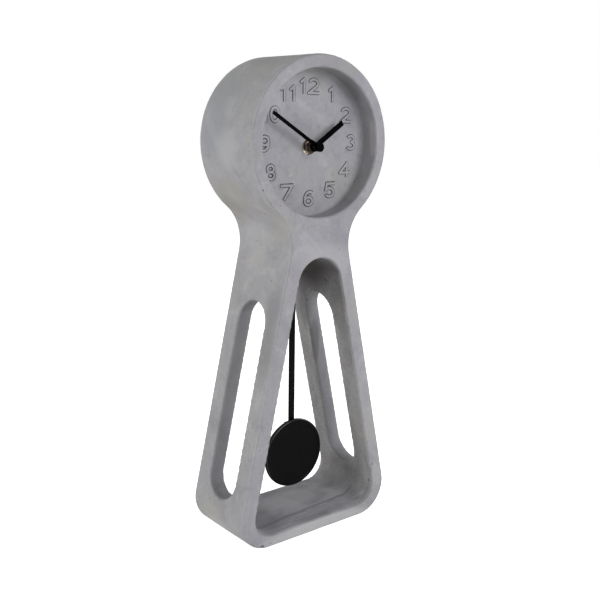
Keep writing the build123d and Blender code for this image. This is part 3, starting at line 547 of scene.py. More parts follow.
# Coatings: name, colour, roughness, specular level, grain scale, grain depth in millimetres and dust.
COATINGS = (
    ("black_satin_paint", (0.0016, 0.0015, 0.0017), 0.3, 0.036, 2600, 0.006, 0.002),
    ("black_paint_bead", (0.004, 0.004, 0.0042), 0.22, 0.3, 2600, 0.004, 0),
    ("black_hand_lacquer", (0.0006, 0.0006, 0.0008), 0.32, 0.01, 3200, 0.004, 0),
    ("black_acetal", (0.006, 0.006, 0.006), 0.4, 0.2, 1600, 0.01, 0),
    ("black_moulded_plastic", (0.01, 0.01, 0.011), 0.42, 0.34, 1400, 0.03, 0.06),
    ("black_knob_plastic", (0.024, 0.024, 0.025), 0.34, 0.42, 2200, 0.015, 0.06),
    ("white_acetal", (0.68, 0.67, 0.62), 0.34, 0.45, 1600, 0.01, 0.02),
    ("black_rubber", (0.018, 0.018, 0.018), 0.78, 0.25, 1100, 0.04, 0.15),
    ("battery_sleeve", (0.03, 0.032, 0.036), 0.3, 0.5, 2400, 0.006, 0.04),
    ("battery_band", (0.45, 0.46, 0.47), 0.28, 0.5, 2400, 0.006, 0.02),
)

concrete_finish("cast_concrete")
# Concrete darkened by dirt and painted shade, for the numerals' walls and their skirt.
concrete_finish("grime_and_shade_concrete", 0.88)
for values in METALS:
    metal_finish(*values)
for values in COATINGS:
    coated_finish(*values)
wound_finish("enamelled_copper", (0.75, 0.3, 0.13), (0.3, 0.09, 0.04), 0.12)
board_finish("solder_mask")


# Shape helpers


def shown(name, data):
    """A new object in the scene."""
    made = bpy.data.objects.new(name, data)
    bpy.context.scene.collection.objects.link(made)
    return made


def turned(shape, degrees, axis, verts=None):
    """Turns a shape, or some of its points, about an axis through the origin."""
    matrix = Matrix.Rotation(math.radians(degrees), 3, axis)
    ops.rotate(shape, cent=(0, 0, 0), matrix=matrix, verts=verts or shape.verts[:])


def moved(shape, offset, verts=None):
    ops.translate(shape, vec=offset, verts=verts or shape.verts[:])


def reach(place, axis):
    """How far a place lies from an axis along Y, in metres."""
    return math.hypot(place.x - axis.x, place.z - axis.z)


def arc(across, along, radius, start, end, steps):
    """Points of a profile's round corner, from one angle in degrees to another."""
    angles = [math.radians(start + (end - start) * step / steps) for step in range(steps + 1)]
    return [(across + radius * math.cos(a), along + radius * math.sin(a)) for a in angles]


def spun(profile, centre, along="Y", steps=72):
    """Turns a profile of (radius, place along the axis) in millimetres about the axis Y or Z."""
    axis = {"Y": Vector((0, 1, 0)), "Z": Vector((0, 0, 1))}[along]
    shape = bmesh.new()
    centre = Vector(centre)
    centre -= axis * centre.dot(axis)
    line = [shape.verts.new(centre + Vector((r * MM, 0, 0)) + axis * (t * MM)) for r, t in profile]
    edges = [shape.edges.new(pair) for pair in zip(line, line[1:])]
    turn = {"angle": math.tau, "steps": steps, "use_merge": True}
    ops.spin(shape, geom=line + edges, cent=centre, axis=axis, **turn)
    ops.remove_doubles(shape, verts=shape.verts, dist=0.0005 * MM)
    ops.recalc_face_normals(shape, faces=shape.faces)
    return shape


def block(low, high):
    """A box between two corners in metres."""
    low, high = Vector(low), Vector(high)
    shape = bmesh.new()
    ops.create_cube(shape, size=1)
    ops.scale(shape, vec=high - low, verts=shape.verts)
    moved(shape, (low + high) / 2)
    return shape


def bevelled(shape, width, segments=2, angle=30, picked=None):
    """Rounds the edges that are sharper than an angle, or those of them that are picked."""
    sharp = [e for e in shape.edges if e.is_manifold and e.calc_face_angle(0) > math.radians(angle)]
    if picked:
        sharp = [e for e in sharp if picked(e)]
    style = {"offset_type": "OFFSET", "affect": "EDGES", "clamp_overlap": True, "material": -1}
    ops.bevel(shape, geom=sharp, offset=width * MM, segments=segments, profile=0.5, **style)
    return shape


def joined(*shapes):
    """One shape from several that touch or run into each other."""
    whole = bmesh.new()
    for shape in shapes:
        step = mesh_of(shape, "step")
        whole.from_mesh(step)
        bpy.data.meshes.remove(step)
    return whole


def merged(node):
    """A CAD node's mesh as one shape, with its doubled points merged."""
    shape = bmesh.new()
    shape.from_mesh(nodes[node].data)
    ops.remove_doubles(shape, verts=shape.verts, dist=0.001 * MM)
    return shape


def copied(node):
    """A merged copy of a CAD node's mesh, with its flat faces made whole."""
    shape = merged(node)
    nearly_flat = math.radians(1.5)
    ops.dissolve_limit(shape, angle_limit=nearly_flat, verts=shape.verts, edges=shape.edges)
    return shape


def mesh_of(shape, name):
    mesh = bpy.data.meshes.new(name)
    shape.to_mesh(mesh)
    shape.free()
    return mesh


def evaluated(holder):
    """The mesh that an object has once its modifiers or bevels are worked out; the object goes."""
    seen = holder.evaluated_get(bpy.context.evaluated_depsgraph_get())
    mesh = bpy.data.meshes.new_from_object(seen)
    bpy.data.objects.remove(holder)
    return mesh


def remeshed(mesh, voxel):
    """A shape made again from a mesh, as even quads of one size, with its steps smoothed."""
    rough = shown("rough", mesh)
    change = rough.modifiers.new("even_quads", "REMESH")
    change.mode = "VOXEL"
    change.voxel_size = voxel * MM
    shape = bmesh.new()
    shape.from_mesh(evaluated(rough))
    axes = {"use_axis_x": True, "use_axis_y": True, "use_axis_z": True}
    ops.smooth_vert(shape, verts=shape.verts, factor=0.5, **axes)
    return shape


def piece(name, shape, body, stands_for, slot, *finishes, angle=32):
    """Makes the shape an object that rides on a body and stands for a CAD node."""
    mesh = mesh_of(shape, name)
    for finish in finishes:
        mesh.materials.append(FINISHES[finish])
    mesh.polygons.foreach_set("use_smooth", [True] * len(mesh.polygons))
    mesh.set_sharp_from_angle(angle=math.radians(angle))
    made = shown(name, mesh)
    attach(made, body)
    if stands_for:
        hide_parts(stands_for)


# Concrete case

NUMERAL_REACH = 67.6
CAST_VOXEL = 1.8
PITTED_CORNER = Vector((-69.6, -43.4, 2.8))


def dial_levelled(shape):
    """Presses the CAD numerals flat, because the dressed ones are pieces of their own."""
    for vert in shape.verts:
        in_relief = DIAL - 1.3 * MM < vert.co.y < DIAL - 0.02 * MM
        if in_relief and reach(vert.co, HEAD) < NUMERAL_REACH * MM:
            vert.co.y = DIAL


def pitted(shape, place, radius, depth):
    """Presses a small pit into the surface, on edges that are split first."""
    near = [v for v in shape.verts if (v.co - place).length < radius * 2.2]
    edges = {e for v in near for e in v.link_edges}
    ops.subdivide_edges(shape, edges=list(edges), cuts=2, use_grid_fill=True)
    near = [v for v in shape.verts if (v.co - place).length < radius]
    for vert in near:
        share = 1 - ((vert.co - place).length / radius) ** 2
        ragged = 0.6 + noise.noise(vert.co * 900)
        vert.co -= vert.normal * depth * share * ragged


def concrete_case():
    """The CAD casting with a level dial, hand-cast unevenness and one knocked corner."""
    shape = merged("concrete_case")
    dial_levelled(shape)
    guide = BVHTree.FromBMesh(shape)
    shape = remeshed(mesh_of(shape, "cast"), CAST_VOXEL)
    for vert in shape.verts:
        vert.co = vert.co.lerp(guide.find_nearest(vert.co)[0], 0.9)
    shape.normal_update()
    for vert in shape.verts:
        if abs(vert.co.y - DIAL) < 0.3 * MM:
            vert.co.y = DIAL
        else:
            vert.co += vert.normal * (noise.fractal(vert.co * 45, 1, 2.1, 4) * 0.14 * MM)
    pitted(shape, PITTED_CORNER * MM, 3.4 * MM, 1.3 * MM)
    low, high = (Vector(corner) for corner in cad_bounds)
    for vert in shape.verts:
        for axis in range(3):
            vert.co[axis] = min(max(vert.co[axis], low[axis]), high[axis])
    return shape


# Raised numerals

# Each digit's centre line in shares of the run and the rise: a bar by its two ends, and
# an oval by its centre, half sizes, start angle and sweep in degrees.
DIGITS = {
    "0": (("oval", (0, 0.5), (0.33, 0.5), 0, 360),),
    "1": (("bar", (0.14, 0), (0.14, 1)), ("bar", (0.14, 1), (-0.14, 0.78))),
    "2": (
        ("oval", (0, 0.7), (0.37, 0.3), -40, 210),
        ("bar", (0.285, 0.51), (-0.44, 0)),
        ("bar", (-0.44, 0), (0.44, 0)),
    ),
    "3": (("oval", (0, 0.76), (0.3, 0.24), -90, 245), ("oval", (0, 0.26), (0.35, 0.26), -155, 245)),
    "4": (
        ("bar", (0.2, 0), (0.2, 1)),
        ("bar", (0.2, 1), (-0.44, 0.27)),
        ("bar", (-0.44, 0.27), (0.44, 0.27)),
    ),
    "5": (
        ("bar", (-0.26, 1), (0.42, 1)),
        ("bar", (-0.26, 1), (-0.35, 0.5)),
        ("oval", (0, 0.32), (0.38, 0.32), -155, 305),
    ),
    "6": (("oval", (0, 0.3), (0.34, 0.3), 0, 360), ("oval", (0.08, 0.46), (0.42, 0.54), 50, 140)),
    "7": (("bar", (-0.48, 1), (0.48, 1)), ("bar", (0.48, 1), (-0.19, 0))),
    "8": (("oval", (0, 0.76), (0.27, 0.24), 0, 360), ("oval", (0, 0.26), (0.32, 0.26), 0, 360)),
    "9": (("oval", (0, 0.7), (0.34, 0.3), 0, 360), ("oval", (-0.08, 0.54), (0.42, 0.54), -130, 140)),
}
# Widths of the digits from 0 to 9, in shares of the run.
WIDTHS = (0.66, 0.28, 0.88, 0.7, 0.88, 0.78, 0.68, 0.96, 0.64, 0.68)
NUMERAL_HEIGHT = 15.2
NUMERAL_INSET = 16.7
NUMERAL_RING = RECESS_RADIUS - NUMERAL_INSET
STROKE = 2.6
RELIEF = 1
RISE = NUMERAL_HEIGHT - STROKE
RUN = 13.6
DIGIT_GAP = 3
ELEVEN_GAP = 4.6
HOUR_STEP = 30
ARC_STEPS = 36
NUMERAL_VOXEL = 0.3


def stroke_line(kind, first, second, *sweep):
    """Points of one stroke's centre line in millimetres, from its shares of run and rise."""
    first = Vector((first[0] * RUN, first[1] * RISE))
    second = Vector((second[0] * RUN, second[1] * RISE))
    if kind == "bar":
        over = (second - first).normalized() * (STROKE / 2)
        return [first - over, second + over]
    start, size = sweep
    count = ARC_STEPS if size == 360 else ARC_STEPS + 1
    angles = [math.radians(start + size * step / ARC_STEPS) for step in range(count)]
    return [Vector((first.x + second.x * math.cos(a), first.y + second.y * math.sin(a))) for a in angles]


def add_line(curve, points, closed, thickness=1):
    """Adds a run of straight lines through points in metres to a curve."""
    line = curve.splines.new("POLY")
    line.points.add(len(points) - 1)
    for point, (x, y) in zip(line.points, points):
        point.co = (x, y, 0, 1)
        point.radius = thickness
    line.use_cyclic_u = closed


def add_number(strokes, hour, aside, thickness):
    """Draws one number's strokes, centred on its place in the ring or a little aside."""
    digits = str(hour)
    widths = [WIDTHS[int(d)] * RUN + STROKE for d in digits]
    gap = ELEVEN_GAP if hour == 11 else DIGIT_GAP
    angle = math.radians(90 - HOUR_STEP * hour)
    left = aside + NUMERAL_RING * math.cos(angle) - (sum(widths) + gap * (len(digits) - 1)) / 2
    foot = NUMERAL_RING * math.sin(angle) - RISE / 2
    for digit, width in zip(digits, widths):
        for stroke in DIGITS[digit]:
            places = stroke_line(*stroke)
            points = [((left + width / 2 + place.x) * MM, (foot + place.y) * MM) for place in places]
            add_line(strokes, points, stroke[0] == "oval" and stroke[4] == 360, thickness)
        left += width + gap


def numerals(aside, fuller, *corners):
    """All twelve numbers in strokes of one section, from its corners in millimetres.

    They lie a little aside, and five to nine are fuller than the others.
    """
    section = bpy.data.curves.new("stroke_section", "CURVE")
    section.dimensions = "2D"
    add_line(section, [(x * MM, y * MM) for x, y in corners], True)
    strokes = bpy.data.curves.new("strokes", "CURVE")
    strokes.dimensions = "3D"
    strokes.twist_mode = "Z_UP"
    strokes.bevel_mode = "OBJECT"
    strokes.bevel_object = shown("stroke_section", section)
    strokes.use_fill_caps = True
    for hour in range(1, 13):
        add_number(strokes, hour, aside, fuller if 4 < hour < 10 else 1)
    mesh = evaluated(shown("strokes", strokes))
    bpy.data.objects.remove(strokes.bevel_object)
    on_dial = Matrix.Translation(Vector((HEAD.x, DIAL, HEAD.z)))
    mesh.transform(on_dial @ Matrix.Rotation(math.radians(90), 4, "X"))
    shape = remeshed(mesh, NUMERAL_VOXEL)
    shape.normal_update()
    # Faces that don't face the front take the second finish: painted shade with dirt on the numerals'
    # walls.
    for face in shape.faces:
        face.material_index = int(face.normal.y > -0.75)
    return shape


# Nut, washer, bushing and hands

BRASS_BORE = 5
WASHER_RADIUS = 7.6
WASHER_RIM = 0.3
NUT_FLATS = 12.6


def brass_washer():
    """Flat ring with a broken edge, which is worn bright."""
    front, rear = depths("brass_washer")
    profile = [(BRASS_BORE, rear), (BRASS_BORE, front), (WASHER_RADIUS - WASHER_RIM, front)]
    profile += [(WASHER_RADIUS, front + WASHER_RIM), (WASHER_RADIUS, rear), (BRASS_BORE, rear)]
    shape = spun(profile, SHAFT)
    for face in shape.faces:
        worn = reach(face.calc_center_median(), SHAFT) > (WASHER_RADIUS - WASHER_RIM - 0.05) * MM
        face.material_index = int(worn)
    return shape


def brass_nut():
    """Hexagon with rounded edges: those of its faces are rubbed, its six corners worn bright."""
    low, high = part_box("brass_nut")
    shape = bmesh.new()
    corner = NUT_FLATS * MM / math.sqrt(3)
    ring = ops.create_circle(shape, cap_ends=False, segments=6, radius=corner)["verts"]
    turn = 90 if high.x - low.x > high.z - low.z else 0
    turned(shape, turn, "Z", ring)
    ops.create_circle(shape, cap_ends=False, segments=48, radius=BRASS_BORE * MM)
    ops.bridge_loops(shape, edges=shape.edges[:])
    raised = ops.extrude_face_region(shape, geom=shape.faces[:])["geom"]
    lifted = [v for v in raised if isinstance(v, bmesh.types.BMVert)]
    moved(shape, (0, 0, high.y - low.y), lifted)
    ops.recalc_face_normals(shape, faces=shape.faces)
    turned(shape, 90, "X")
    moved(shape, (SHAFT.x, high.y, SHAFT.z))
    bevelled(shape, 0.34, 2, 40)
    sides = [math.radians(turn + 30 + 60 * side) for side in range(6)]
    flats = [Vector((math.cos(a), 0, math.sin(a))) for a in sides]
    for face in shape.faces:
        if 0.15 < abs(face.normal.y) < 0.93:
            face.material_index = 1
        elif abs(face.normal.y) <= 0.15 and max(flat.dot(face.normal) for flat in flats) < 0.995:
            outside = reach(face.calc_center_median(), SHAFT) > (BRASS_BORE + 1) * MM
            face.material_index = 2 if outside else 0
    return shape


def threaded_bushing():
    """Brass tube with a helical thread from the nut to its front end, and its flange at the rear."""
    front, rear = depths("threaded_bushing")
    bore, crest, root, chamfer = 2.65, BRASS_BORE, 4.55, 0.3
    flange, flange_thickness = 8, 1
    pitch, steps, embedded = 0.75, 40, 0.02
    thread_rear = DIAL / MM + 6
    core = [(bore, rear), (bore, front + chamfer), (bore + chamfer, front)]
    core += [(root - chamfer, front), (root, front + chamfer), (root, rear - flange_thickness)]
    core += [(flange, rear - flange_thickness), (flange, rear), (bore, rear)]
    turns = int((thread_rear - front - 2 * chamfer) / pitch)
    start = front + chamfer
    ridge = [(root - embedded, start), (crest, start + pitch * 0.42)]
    ridge += [(crest, start + pitch * 0.56), (root - embedded, start + pitch * 0.98)]
    thread = bmesh.new()
    line = [thread.verts.new((SHAFT.x + r * MM, y * MM, SHAFT.z)) for r, y in ridge]
    edges = [thread.edges.new(pair) for pair in zip(line, line[1:])]
    axis = {"cent": (SHAFT.x, 0, SHAFT.z), "axis": (0, 1, 0)}
    winding = {"angle": math.tau * turns, "steps": turns * steps, "dvec": (0, pitch * MM / steps, 0)}
    ops.spin(thread, geom=line + edges, **axis, **winding)
    ops.recalc_face_normals(thread, faces=thread.faces)
    return joined(spun(core, SHAFT), thread)


HAND_THICKNESS = 0.6


def clock_hand(node, length, width, turn, boss_radius, bore):
    """Stamped hand: a flat blade with broken edges and a pressed boss."""
    front, rear = depths(node)
    low = (-width / 2 * MM, front * MM, 0)
    high = (width / 2 * MM, (front + HAND_THICKNESS) * MM, length * MM)
    blade = bevelled(block(low, high), 0.12, 2)
    hub = Vector((SHAFT.x, 0, SHAFT.z))
    turned(blade, turn, "Y")
    moved(blade, hub)
    ahead = Vector((math.sin(math.radians(turn)), 0, math.cos(math.radians(turn))))
    whole = blade.verts[:] + blade.edges[:] + blade.faces[:]
    cut = hub + ahead * (bore * MM)
    ops.bisect_plane(blade, geom=whole, plane_co=cut, plane_no=ahead, clear_inner=True)
    ops.holes_fill(blade, edges=[e for e in blade.edges if e.is_boundary])
    profile = [(bore, rear - 0.15), (bore, front)]
    profile += [(boss_radius - 0.3, front), (boss_radius - 0.08, front + 0.08), (boss_radius, front + 0.3)]
    profile += [(boss_radius, rear - 0.2), (boss_radius - 0.2, rear)]
    profile += [(bore + 0.15, rear), (bore, rear - 0.15)]
    return joined(blade, spun(profile, SHAFT))


def hand_cap():
    """Turned cap on the shaft, with a shallow dish in its front and a blind hole in its rear."""
    front, rear = depths("hand_cap_nut")
    radius, hole, hole_depth = 4.4, 1, 2.6
    profile = [(0, front + 0.35), (1.2, front + 0.28), (2.4, front + 0.06), (2.9, front)]
    profile += [(radius - 0.5, front), (radius - 0.2, front + 0.1), (radius - 0.04, front + 0.3)]
    profile += [(radius, front + 0.5), (radius, rear - 0.2), (radius - 0.2, rear)]
    profile += [(hole, rear), (hole, rear - hole_depth), (0, rear - hole_depth)]
    return spun(profile, SHAFT)


# Pendulum


def pendulum_rod():
    """Flat bar with its long edges rounded and its ends broken."""
    low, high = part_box("pendulum_rod")
    shape = block(low, high)
    bevelled(shape, 1.1, 4, 30, lambda e: abs((e.verts[0].co - e.verts[1].co).z) > 10 * MM)
    return bevelled(shape, 0.15, 1, 60)


def pendulum_bob():
    """Thin disc with a soft rim, and a raised bead around the shallow dish of its front."""
    low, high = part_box("pendulum_bob")
    centre = (low + high) / 2
    front, rear, radius = low.y / MM, high.y / MM, (high.x - low.x) / 2 / MM
    rim = 2.2
    profile = [(0, front + 0.75), (radius - 6, front + 0.75), (radius - 4.6, front + 0.7)]
    profile += [(radius - 4.1, front + 0.52), (radius - 3.5, front + 0.18), (radius - 2.8, front + 0.02)]
    profile += arc(radius - rim, front + rim, rim, -90, 0, 8)
    profile += arc(radius - rim, rear - rim, rim, 0, 90, 6)
    profile.append((0, rear))
    shape = spun(profile, centre, steps=128)
    for face in shape.faces:
        place = face.calc_center_median()
        on_bead = radius - 1.5 < reach(place, centre) / MM < radius - 0.25
        face.material_index = int(on_bead and place.y < centre.y)
    return shape


# Battery

CELL_RADIUS = 7.25
CELL_NUB = 1
CELL_BAND = 16


def battery_cell():
    """Cell with a sleeve shrunk over both ends, a flat foot and a raised top."""
    low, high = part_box("battery")
    centre = (low + high) / 2
    foot, top = low.z / MM, high.z / MM
    shoulder = top - CELL_NUB
    profile = [(0, foot), (5.6, foot), (5.6, foot + 0.25), (6.6, foot + 0.05)]
    profile += [(7, foot + 0.12), (CELL_RADIUS, foot + 0.45), (CELL_RADIUS, top - CELL_BAND)]
    profile += [(CELL_RADIUS, shoulder - 0.45), (7, shoulder - 0.12), (6.5, shoulder)]
    profile += [(5.4, shoulder), (5.2, shoulder - 0.3), (3, shoulder - 0.3), (2.75, shoulder - 0.1)]
    profile += [(2.6, shoulder + 0.2), (2.6, top - 0.25), (2.35, top), (0, top)]
    shape = spun(profile, centre, "Z", 64)
    for face in shape.faces:
        place = face.calc_center_median()
        if math.hypot(place.x - centre.x, place.y - centre.y) > 5.45 * MM:
            face.material_index = int(place.z > high.z - CELL_BAND * MM)
        else:
            face.material_index = 2
    return shape


# Moulded details on the movement's back; their places and sizes are in millimetres

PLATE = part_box("movement_front_shell")[1].y + 1.2 * MM
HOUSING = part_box("movement_back_shell")[1].y
SUNK = 0.1
MARK_RISE = 0.45


def turn_arrow(centre, radius, start, sweep):
    """Raised arrow on the plate that follows the knob's rim."""
    shape = bmesh.new()
    foot, crest, half_width = -SUNK, MARK_RISE, 0.5
    inner, outer = radius - half_width, radius + half_width
    corners = ((inner, foot), (outer, foot), (outer, crest), (inner, crest))
    ring = [shape.verts.new((x * MM, y * MM, 0)) for x, y in corners]
    edges = [shape.edges.new(pair) for pair in zip(ring, ring[1:] + ring[:1])]
    bend = math.radians(sweep)
    ops.spin(shape, geom=ring + edges, cent=(0, 0, 0), axis=(0, 1, 0), angle=bend, steps=16)
    ops.holes_fill(shape, edges=[e for e in shape.edges if e.is_boundary])
    tip = bmesh.new()
    size = 1.8 * MM
    thickness = (crest - foot) * MM
    ops.create_cone(tip, cap_ends=True, segments=3, radius1=size, radius2=size, depth=thickness)
    turned(tip, -90 if sweep > 0 else 90, "X")
    moved(tip, (radius * MM, (foot + crest) / 2 * MM, 0))
    turned(tip, sweep, "Y")
    arrow = joined(shape, tip)
    turned(arrow, start, "Y")
    moved(arrow, (centre.x, PLATE, centre.z))
    ops.recalc_face_normals(arrow, faces=arrow.faces)
    return arrow


def bar_mark(x, z, width, height, face, edge=0.1):
    """Raised bar on a rear face."""
    low = ((x - width / 2) * MM, face - SUNK * MM, (z - height / 2) * MM)
    high = ((x + width / 2) * MM, face + MARK_RISE * MM, (z + height / 2) * MM)
    return bevelled(block(low, high), edge, 1)


def collar(x, z, inner, outer, face, rise):
    """Raised ring on a rear face, with its outer edge broken."""
    profile = [(inner, -SUNK), (inner, rise), (outer - 0.15, rise), (outer, rise - 0.15)]
    profile += [(outer, -SUNK), (inner, -SUNK)]
    return spun([(r, t + face / MM) for r, t in profile], (x * MM, 0, z * MM), steps=48)


def snap_lug(x, z, front):
    """Rounded lug on the shell's side wall, at its front edge."""
    low = ((x - 0.4) * MM, front - 3.2 * MM, (z - 3.5) * MM)
    high = ((x + 0.8) * MM, front + MM, (z + 3.5) * MM)
    return bevelled(block(low, high), 0.3, 2)


def movement_back():
    """Back shell with its knob collar, turn arrows, polarity marks, ribs, pin marks and snap lugs."""
    knob, pin = middle("setting_knob"), middle("hanger_pivot_pin")
    low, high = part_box("movement_back_shell")
    side, top = high.x / MM, high.z / MM
    details = [
        collar(knob.x / MM, knob.z / MM, 6.6, 7.5, PLATE, 1),
        turn_arrow(knob, 9, 20, 62),
        turn_arrow(knob, 9, -20, -62),
        collar(pin.x / MM, pin.z / MM, 1.05, 2.6, HOUSING, 0.6),
        bar_mark(9, 405, 3.6, 1, PLATE),
        bar_mark(9, 405, 1, 3.6, PLATE),
        bar_mark(9, 370, 3.6, 1, PLATE),
    ]
    details += [bar_mark(x, top - 11.5, 1, 17, HOUSING, 0.2) for x in (-15, -10, 10, 15)]
    for x, z in ((-25, 441), (25, 441), (-25, 363), (7, 362.5), (-25, 412)):
        details.append(collar(x, z, 1.6, 2.2, PLATE, 0.3))
    for x in (-side, side):
        details += [snap_lug(x, z, low.y) for z in (373, 402, 433)]
    return joined(bevelled(copied("movement_back_shell"), 0.3), *details)


# Building: each piece's name, shape, body, CAD node, slot and finishes

piece("concrete_body", concrete_case(), "case", "concrete_case", "concrete", "cast_concrete", angle=180)
upright = numerals(0, 1, (-1.42, -0.5), (1.42, -0.5), (1.22, RELIEF), (-1.22, RELIEF))
piece("raised_numerals", upright, "case", None, "concrete", "cast_concrete", "grime_and_shade_concrete", angle=180)
# A thin dark skirt at the numerals' feet on the dial: painted shade with dirt, fuller on five to nine.
shade_skirt = numerals(0.5, 1.08, (-2.15, -1), (2, -1), (1.85, 0.18), (-1.95, 0.18))
piece("numeral_shade_skirt", shade_skirt, "case", None, "concrete", "grime_and_shade_concrete", "grime_and_shade_concrete", angle=180)
piece("washer", brass_washer(), "case", "brass_washer", "brass", "aged_brass", "worn_brass_edge")
piece("nut", brass_nut(), "case", "brass_nut", "brass", "aged_brass", "brass_edge", "worn_brass_edge")
piece("bushing", threaded_bushing(), "case", "threaded_bushing", "brass", "dark_brass_thread")

# Hands: piece, CAD node and body; inset from the recess, width, turn in degrees, boss radius and bore.
for name, node, body, inset, width, turn, boss_radius, bore in (
    ("hour_pointer", "hour_hand", "hour", 28.4, 5.5, 56.6, 4.6, 2.62),
    ("minute_pointer", "minute_hand", "minute", 7.5, 3.6, 301, 3.6, 1.62),
):
    hand = clock_hand(node, RECESS_RADIUS - inset, width, turn, boss_radius, bore)
    piece(name, hand, body, node, "black_hand", "black_hand_lacquer")

piece("shaft_cap", hand_cap(), "minute", "hand_cap_nut", "black_cap", "black_hand_lacquer")
piece("swing_rod", pendulum_rod(), "pendulum", "pendulum_rod", "black_rod", "black_satin_paint")
bob = pendulum_bob()
piece("swing_bob", bob, "pendulum", "pendulum_bob", "black_bob", "black_satin_paint", "black_paint_bead")
sleeve = ("battery_sleeve", "battery_band", "plated_contact")
piece("cell", battery_cell(), "battery", "battery", "battery_can", *sleeve)
shell = movement_back()
moulded = "black_moulded_plastic"
piece("movement_back", shell, "case", "movement_back_shell", "black_shell", moulded, angle=20)

# CAD nodes that only get their edges rounded: node, body, slot, finish and width of the rounding.
SOFTENED = (
    ("setting_knob", "setting", "black_knob", "black_knob_plastic", 0.2),
    ("movement_front_shell", "case", "black_shell", "black_moulded_plastic", 0.3),
    ("bob_clip", "pendulum", "black_shell", "black_moulded_plastic", 0.25),
    ("pendulum_hanger", "pendulum", "white_gear", "white_acetal", 0.2),
    ("hook_plate", "pendulum", "black_rod", "black_satin_paint", 0.12),
    ("hook_rivets", "pendulum", "steel", "ground_steel", 0.15),
    ("battery_plate_contact", "case", "contact", "plated_contact", 0.08),
    ("battery_leaf_contact", "case", "contact", "plated_contact", 0.08),
    ("rubber_washer", "case", "rubber", "black_rubber", 0.15),
)
for node, body, slot, finish, width in SOFTENED:
    piece("dressed_" + node, bevelled(copied(node), width), body, node, slot, finish, angle=20)

# CAD nodes that keep their shape, by the finish that they get.
KEPT = {
    "black_acetal": ("hour_wheel",),
    "white_acetal": (
        "minute_wheel", "centre_wheel", "third_wheel", "fourth_wheel", "fifth_wheel", "coil_bobbin"
    ),
    "ground_steel": ("cannon_pinion", "rotor_pinion", "quartz_crystal", "hanger_pivot_pin"),
    "dark_magnet": ("rotor_magnet", "hanger_magnet"),
    "soft_iron_sheet": ("stator", "coil_core"),
    "enamelled_copper": ("drive_coil", "pendulum_coil"),
    "solder_mask": ("circuit_board",),
}
for finish, kept in KEPT.items():
    for node in kept:
        nodes[node].data.materials.clear()
        nodes[node].data.materials.append(FINISHES[finish])


# Camera, worked out from the photograph's perspective, in metres and degrees

CAMERA_AZIMUTH = -38.77
CAMERA_ELEVATION = 11.97
CAMERA_ROLL = 0.68
CAMERA_DISTANCE = 0.88874
CAMERA_ASIDE = 0.00734
CAMERA_DROP = 0.00195
CAMERA_AIM = 0.2375
FOCAL_LENGTH = 52.607


def outward(azimuth, elevation):
    """The direction from the clock to a place that is given by two angles in degrees."""
    a, e = math.radians(azimuth), math.radians(elevation)
    return Vector((math.sin(a) * math.cos(e), -math.cos(a) * math.cos(e), math.sin(e)))


def camera():
    """The camera that stands where the photograph was taken from."""
    back = outward(CAMERA_AZIMUTH, CAMERA_ELEVATION)
    roll = math.radians(CAMERA_ROLL)
    right = (-back).cross(Vector((0, 0, 1))).normalized()
    up = right.cross(-back)
    side = right * math.cos(roll) + up * math.sin(roll)
    rise = up * math.cos(roll) - right * math.sin(roll)
    lens = bpy.data.cameras.new("camera")
    lens.sensor_width = 36
    lens.lens = FOCAL_LENGTH
    lens.clip_end = 100
    made = shown("camera", lens)
    place = Vector((0, 0, CAMERA_AIM)) + back * CAMERA_DISTANCE + side * CAMERA_ASIDE - rise * CAMERA_DROP
    turn = Matrix((side, rise, back)).transposed()
    made.matrix_world = Matrix.Translation(place) @ turn.to_4x4()
    bpy.context.scene.camera = made


# Floor, world and lamps

FLOOR_HALF_WIDTH = 6
FLOOR_GLOW = 0.86
LAMP_DISTANCE = 1.9
LAMP_WIDTH = 1.1
LAMP_AIM = 0.24


def white_to_eye(tree):
    """One for rays from the eye and for mirrored or passed rays, else zero."""
    path = add(tree, "LightPath").outputs
    return larger(path["Is Camera Ray"], path["Is Glossy Ray"], path["Is Transmission Ray"])


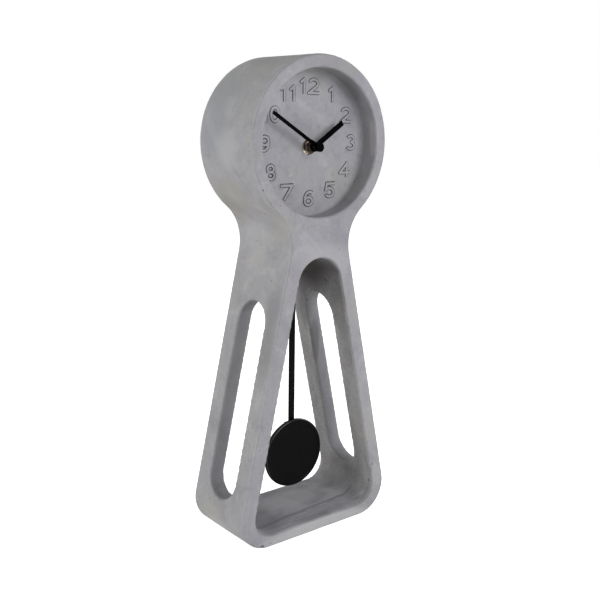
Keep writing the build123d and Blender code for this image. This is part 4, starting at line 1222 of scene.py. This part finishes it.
def floor():
    """Matt floor that looks white to the eye."""
    shape = bmesh.new()
    ops.create_grid(shape, x_segments=1, y_segments=1, size=FLOOR_HALF_WIDTH)
    made = shown("floor", mesh_of(shape, "floor"))
    finish = bpy.data.materials.new("pale_floor")
    finish.use_nodes = True
    tree = finish.node_tree
    tree.nodes.clear()
    matt = add(tree, "BsdfDiffuse", {"Color": (0.8, 0.8, 0.8, 1)}).outputs[0]
    light = {"Color": (1, 1, 1, 1), "Strength": times(white_to_eye(tree), FLOOR_GLOW)}
    glow = add(tree, "Emission", light).outputs[0]
    both = add(tree, "AddShader", {0: matt, 1: glow}).outputs[0]
    add(tree, "OutputMaterial", {"Surface": both})
    made.data.materials.append(finish)


def sky():
    """Soft light that fades upward, behind a background that looks white to the eye."""
    world = bpy.data.worlds.new("studio")
    bpy.context.scene.world = world
    world.use_nodes = True
    tree = world.node_tree
    tree.nodes.clear()
    height = split(add(tree, "TexCoord").outputs["Generated"])["Z"]
    fading = spread(height, 0, 1, 0.46, 0.12, smooth=False)
    soft, white = (
        add(tree, "Background", {"Color": (1, 1, 1, 1), "Strength": strength}).outputs[0]
        for strength in (fading, 1)
    )
    seen = add(tree, "MixShader", {0: white_to_eye(tree), 1: soft, 2: white}).outputs[0]
    add(tree, "OutputWorld", {"Surface": seen})


def softbox(name, azimuth, elevation, power, colour=(1, 1, 1)):
    """A square area lamp that faces the middle of the clock."""
    away = outward(azimuth, elevation)
    lamp = bpy.data.lights.new(name, "AREA")
    lamp.shape = "RECTANGLE"
    lamp.size = LAMP_WIDTH
    lamp.size_y = LAMP_WIDTH
    lamp.energy = power
    lamp.color = colour
    place = Matrix.Translation(Vector((0, 0, LAMP_AIM)) + away * LAMP_DISTANCE)
    shown(name, lamp).matrix_world = place @ away.to_track_quat("Z", "Y").to_matrix().to_4x4()


camera()
floor()
sky()
softbox("front_lamp", 10, 18, 21, (0.955, 0.94, 1))
softbox("left_lamp", -98, 5, 20.2, (1, 0.985, 0.965))
softbox("right_lamp", 88, 20, 8)
softbox("rear_lamp", 176, 22, 13)

scene = bpy.context.scene
scene.view_settings.view_transform = "Standard"
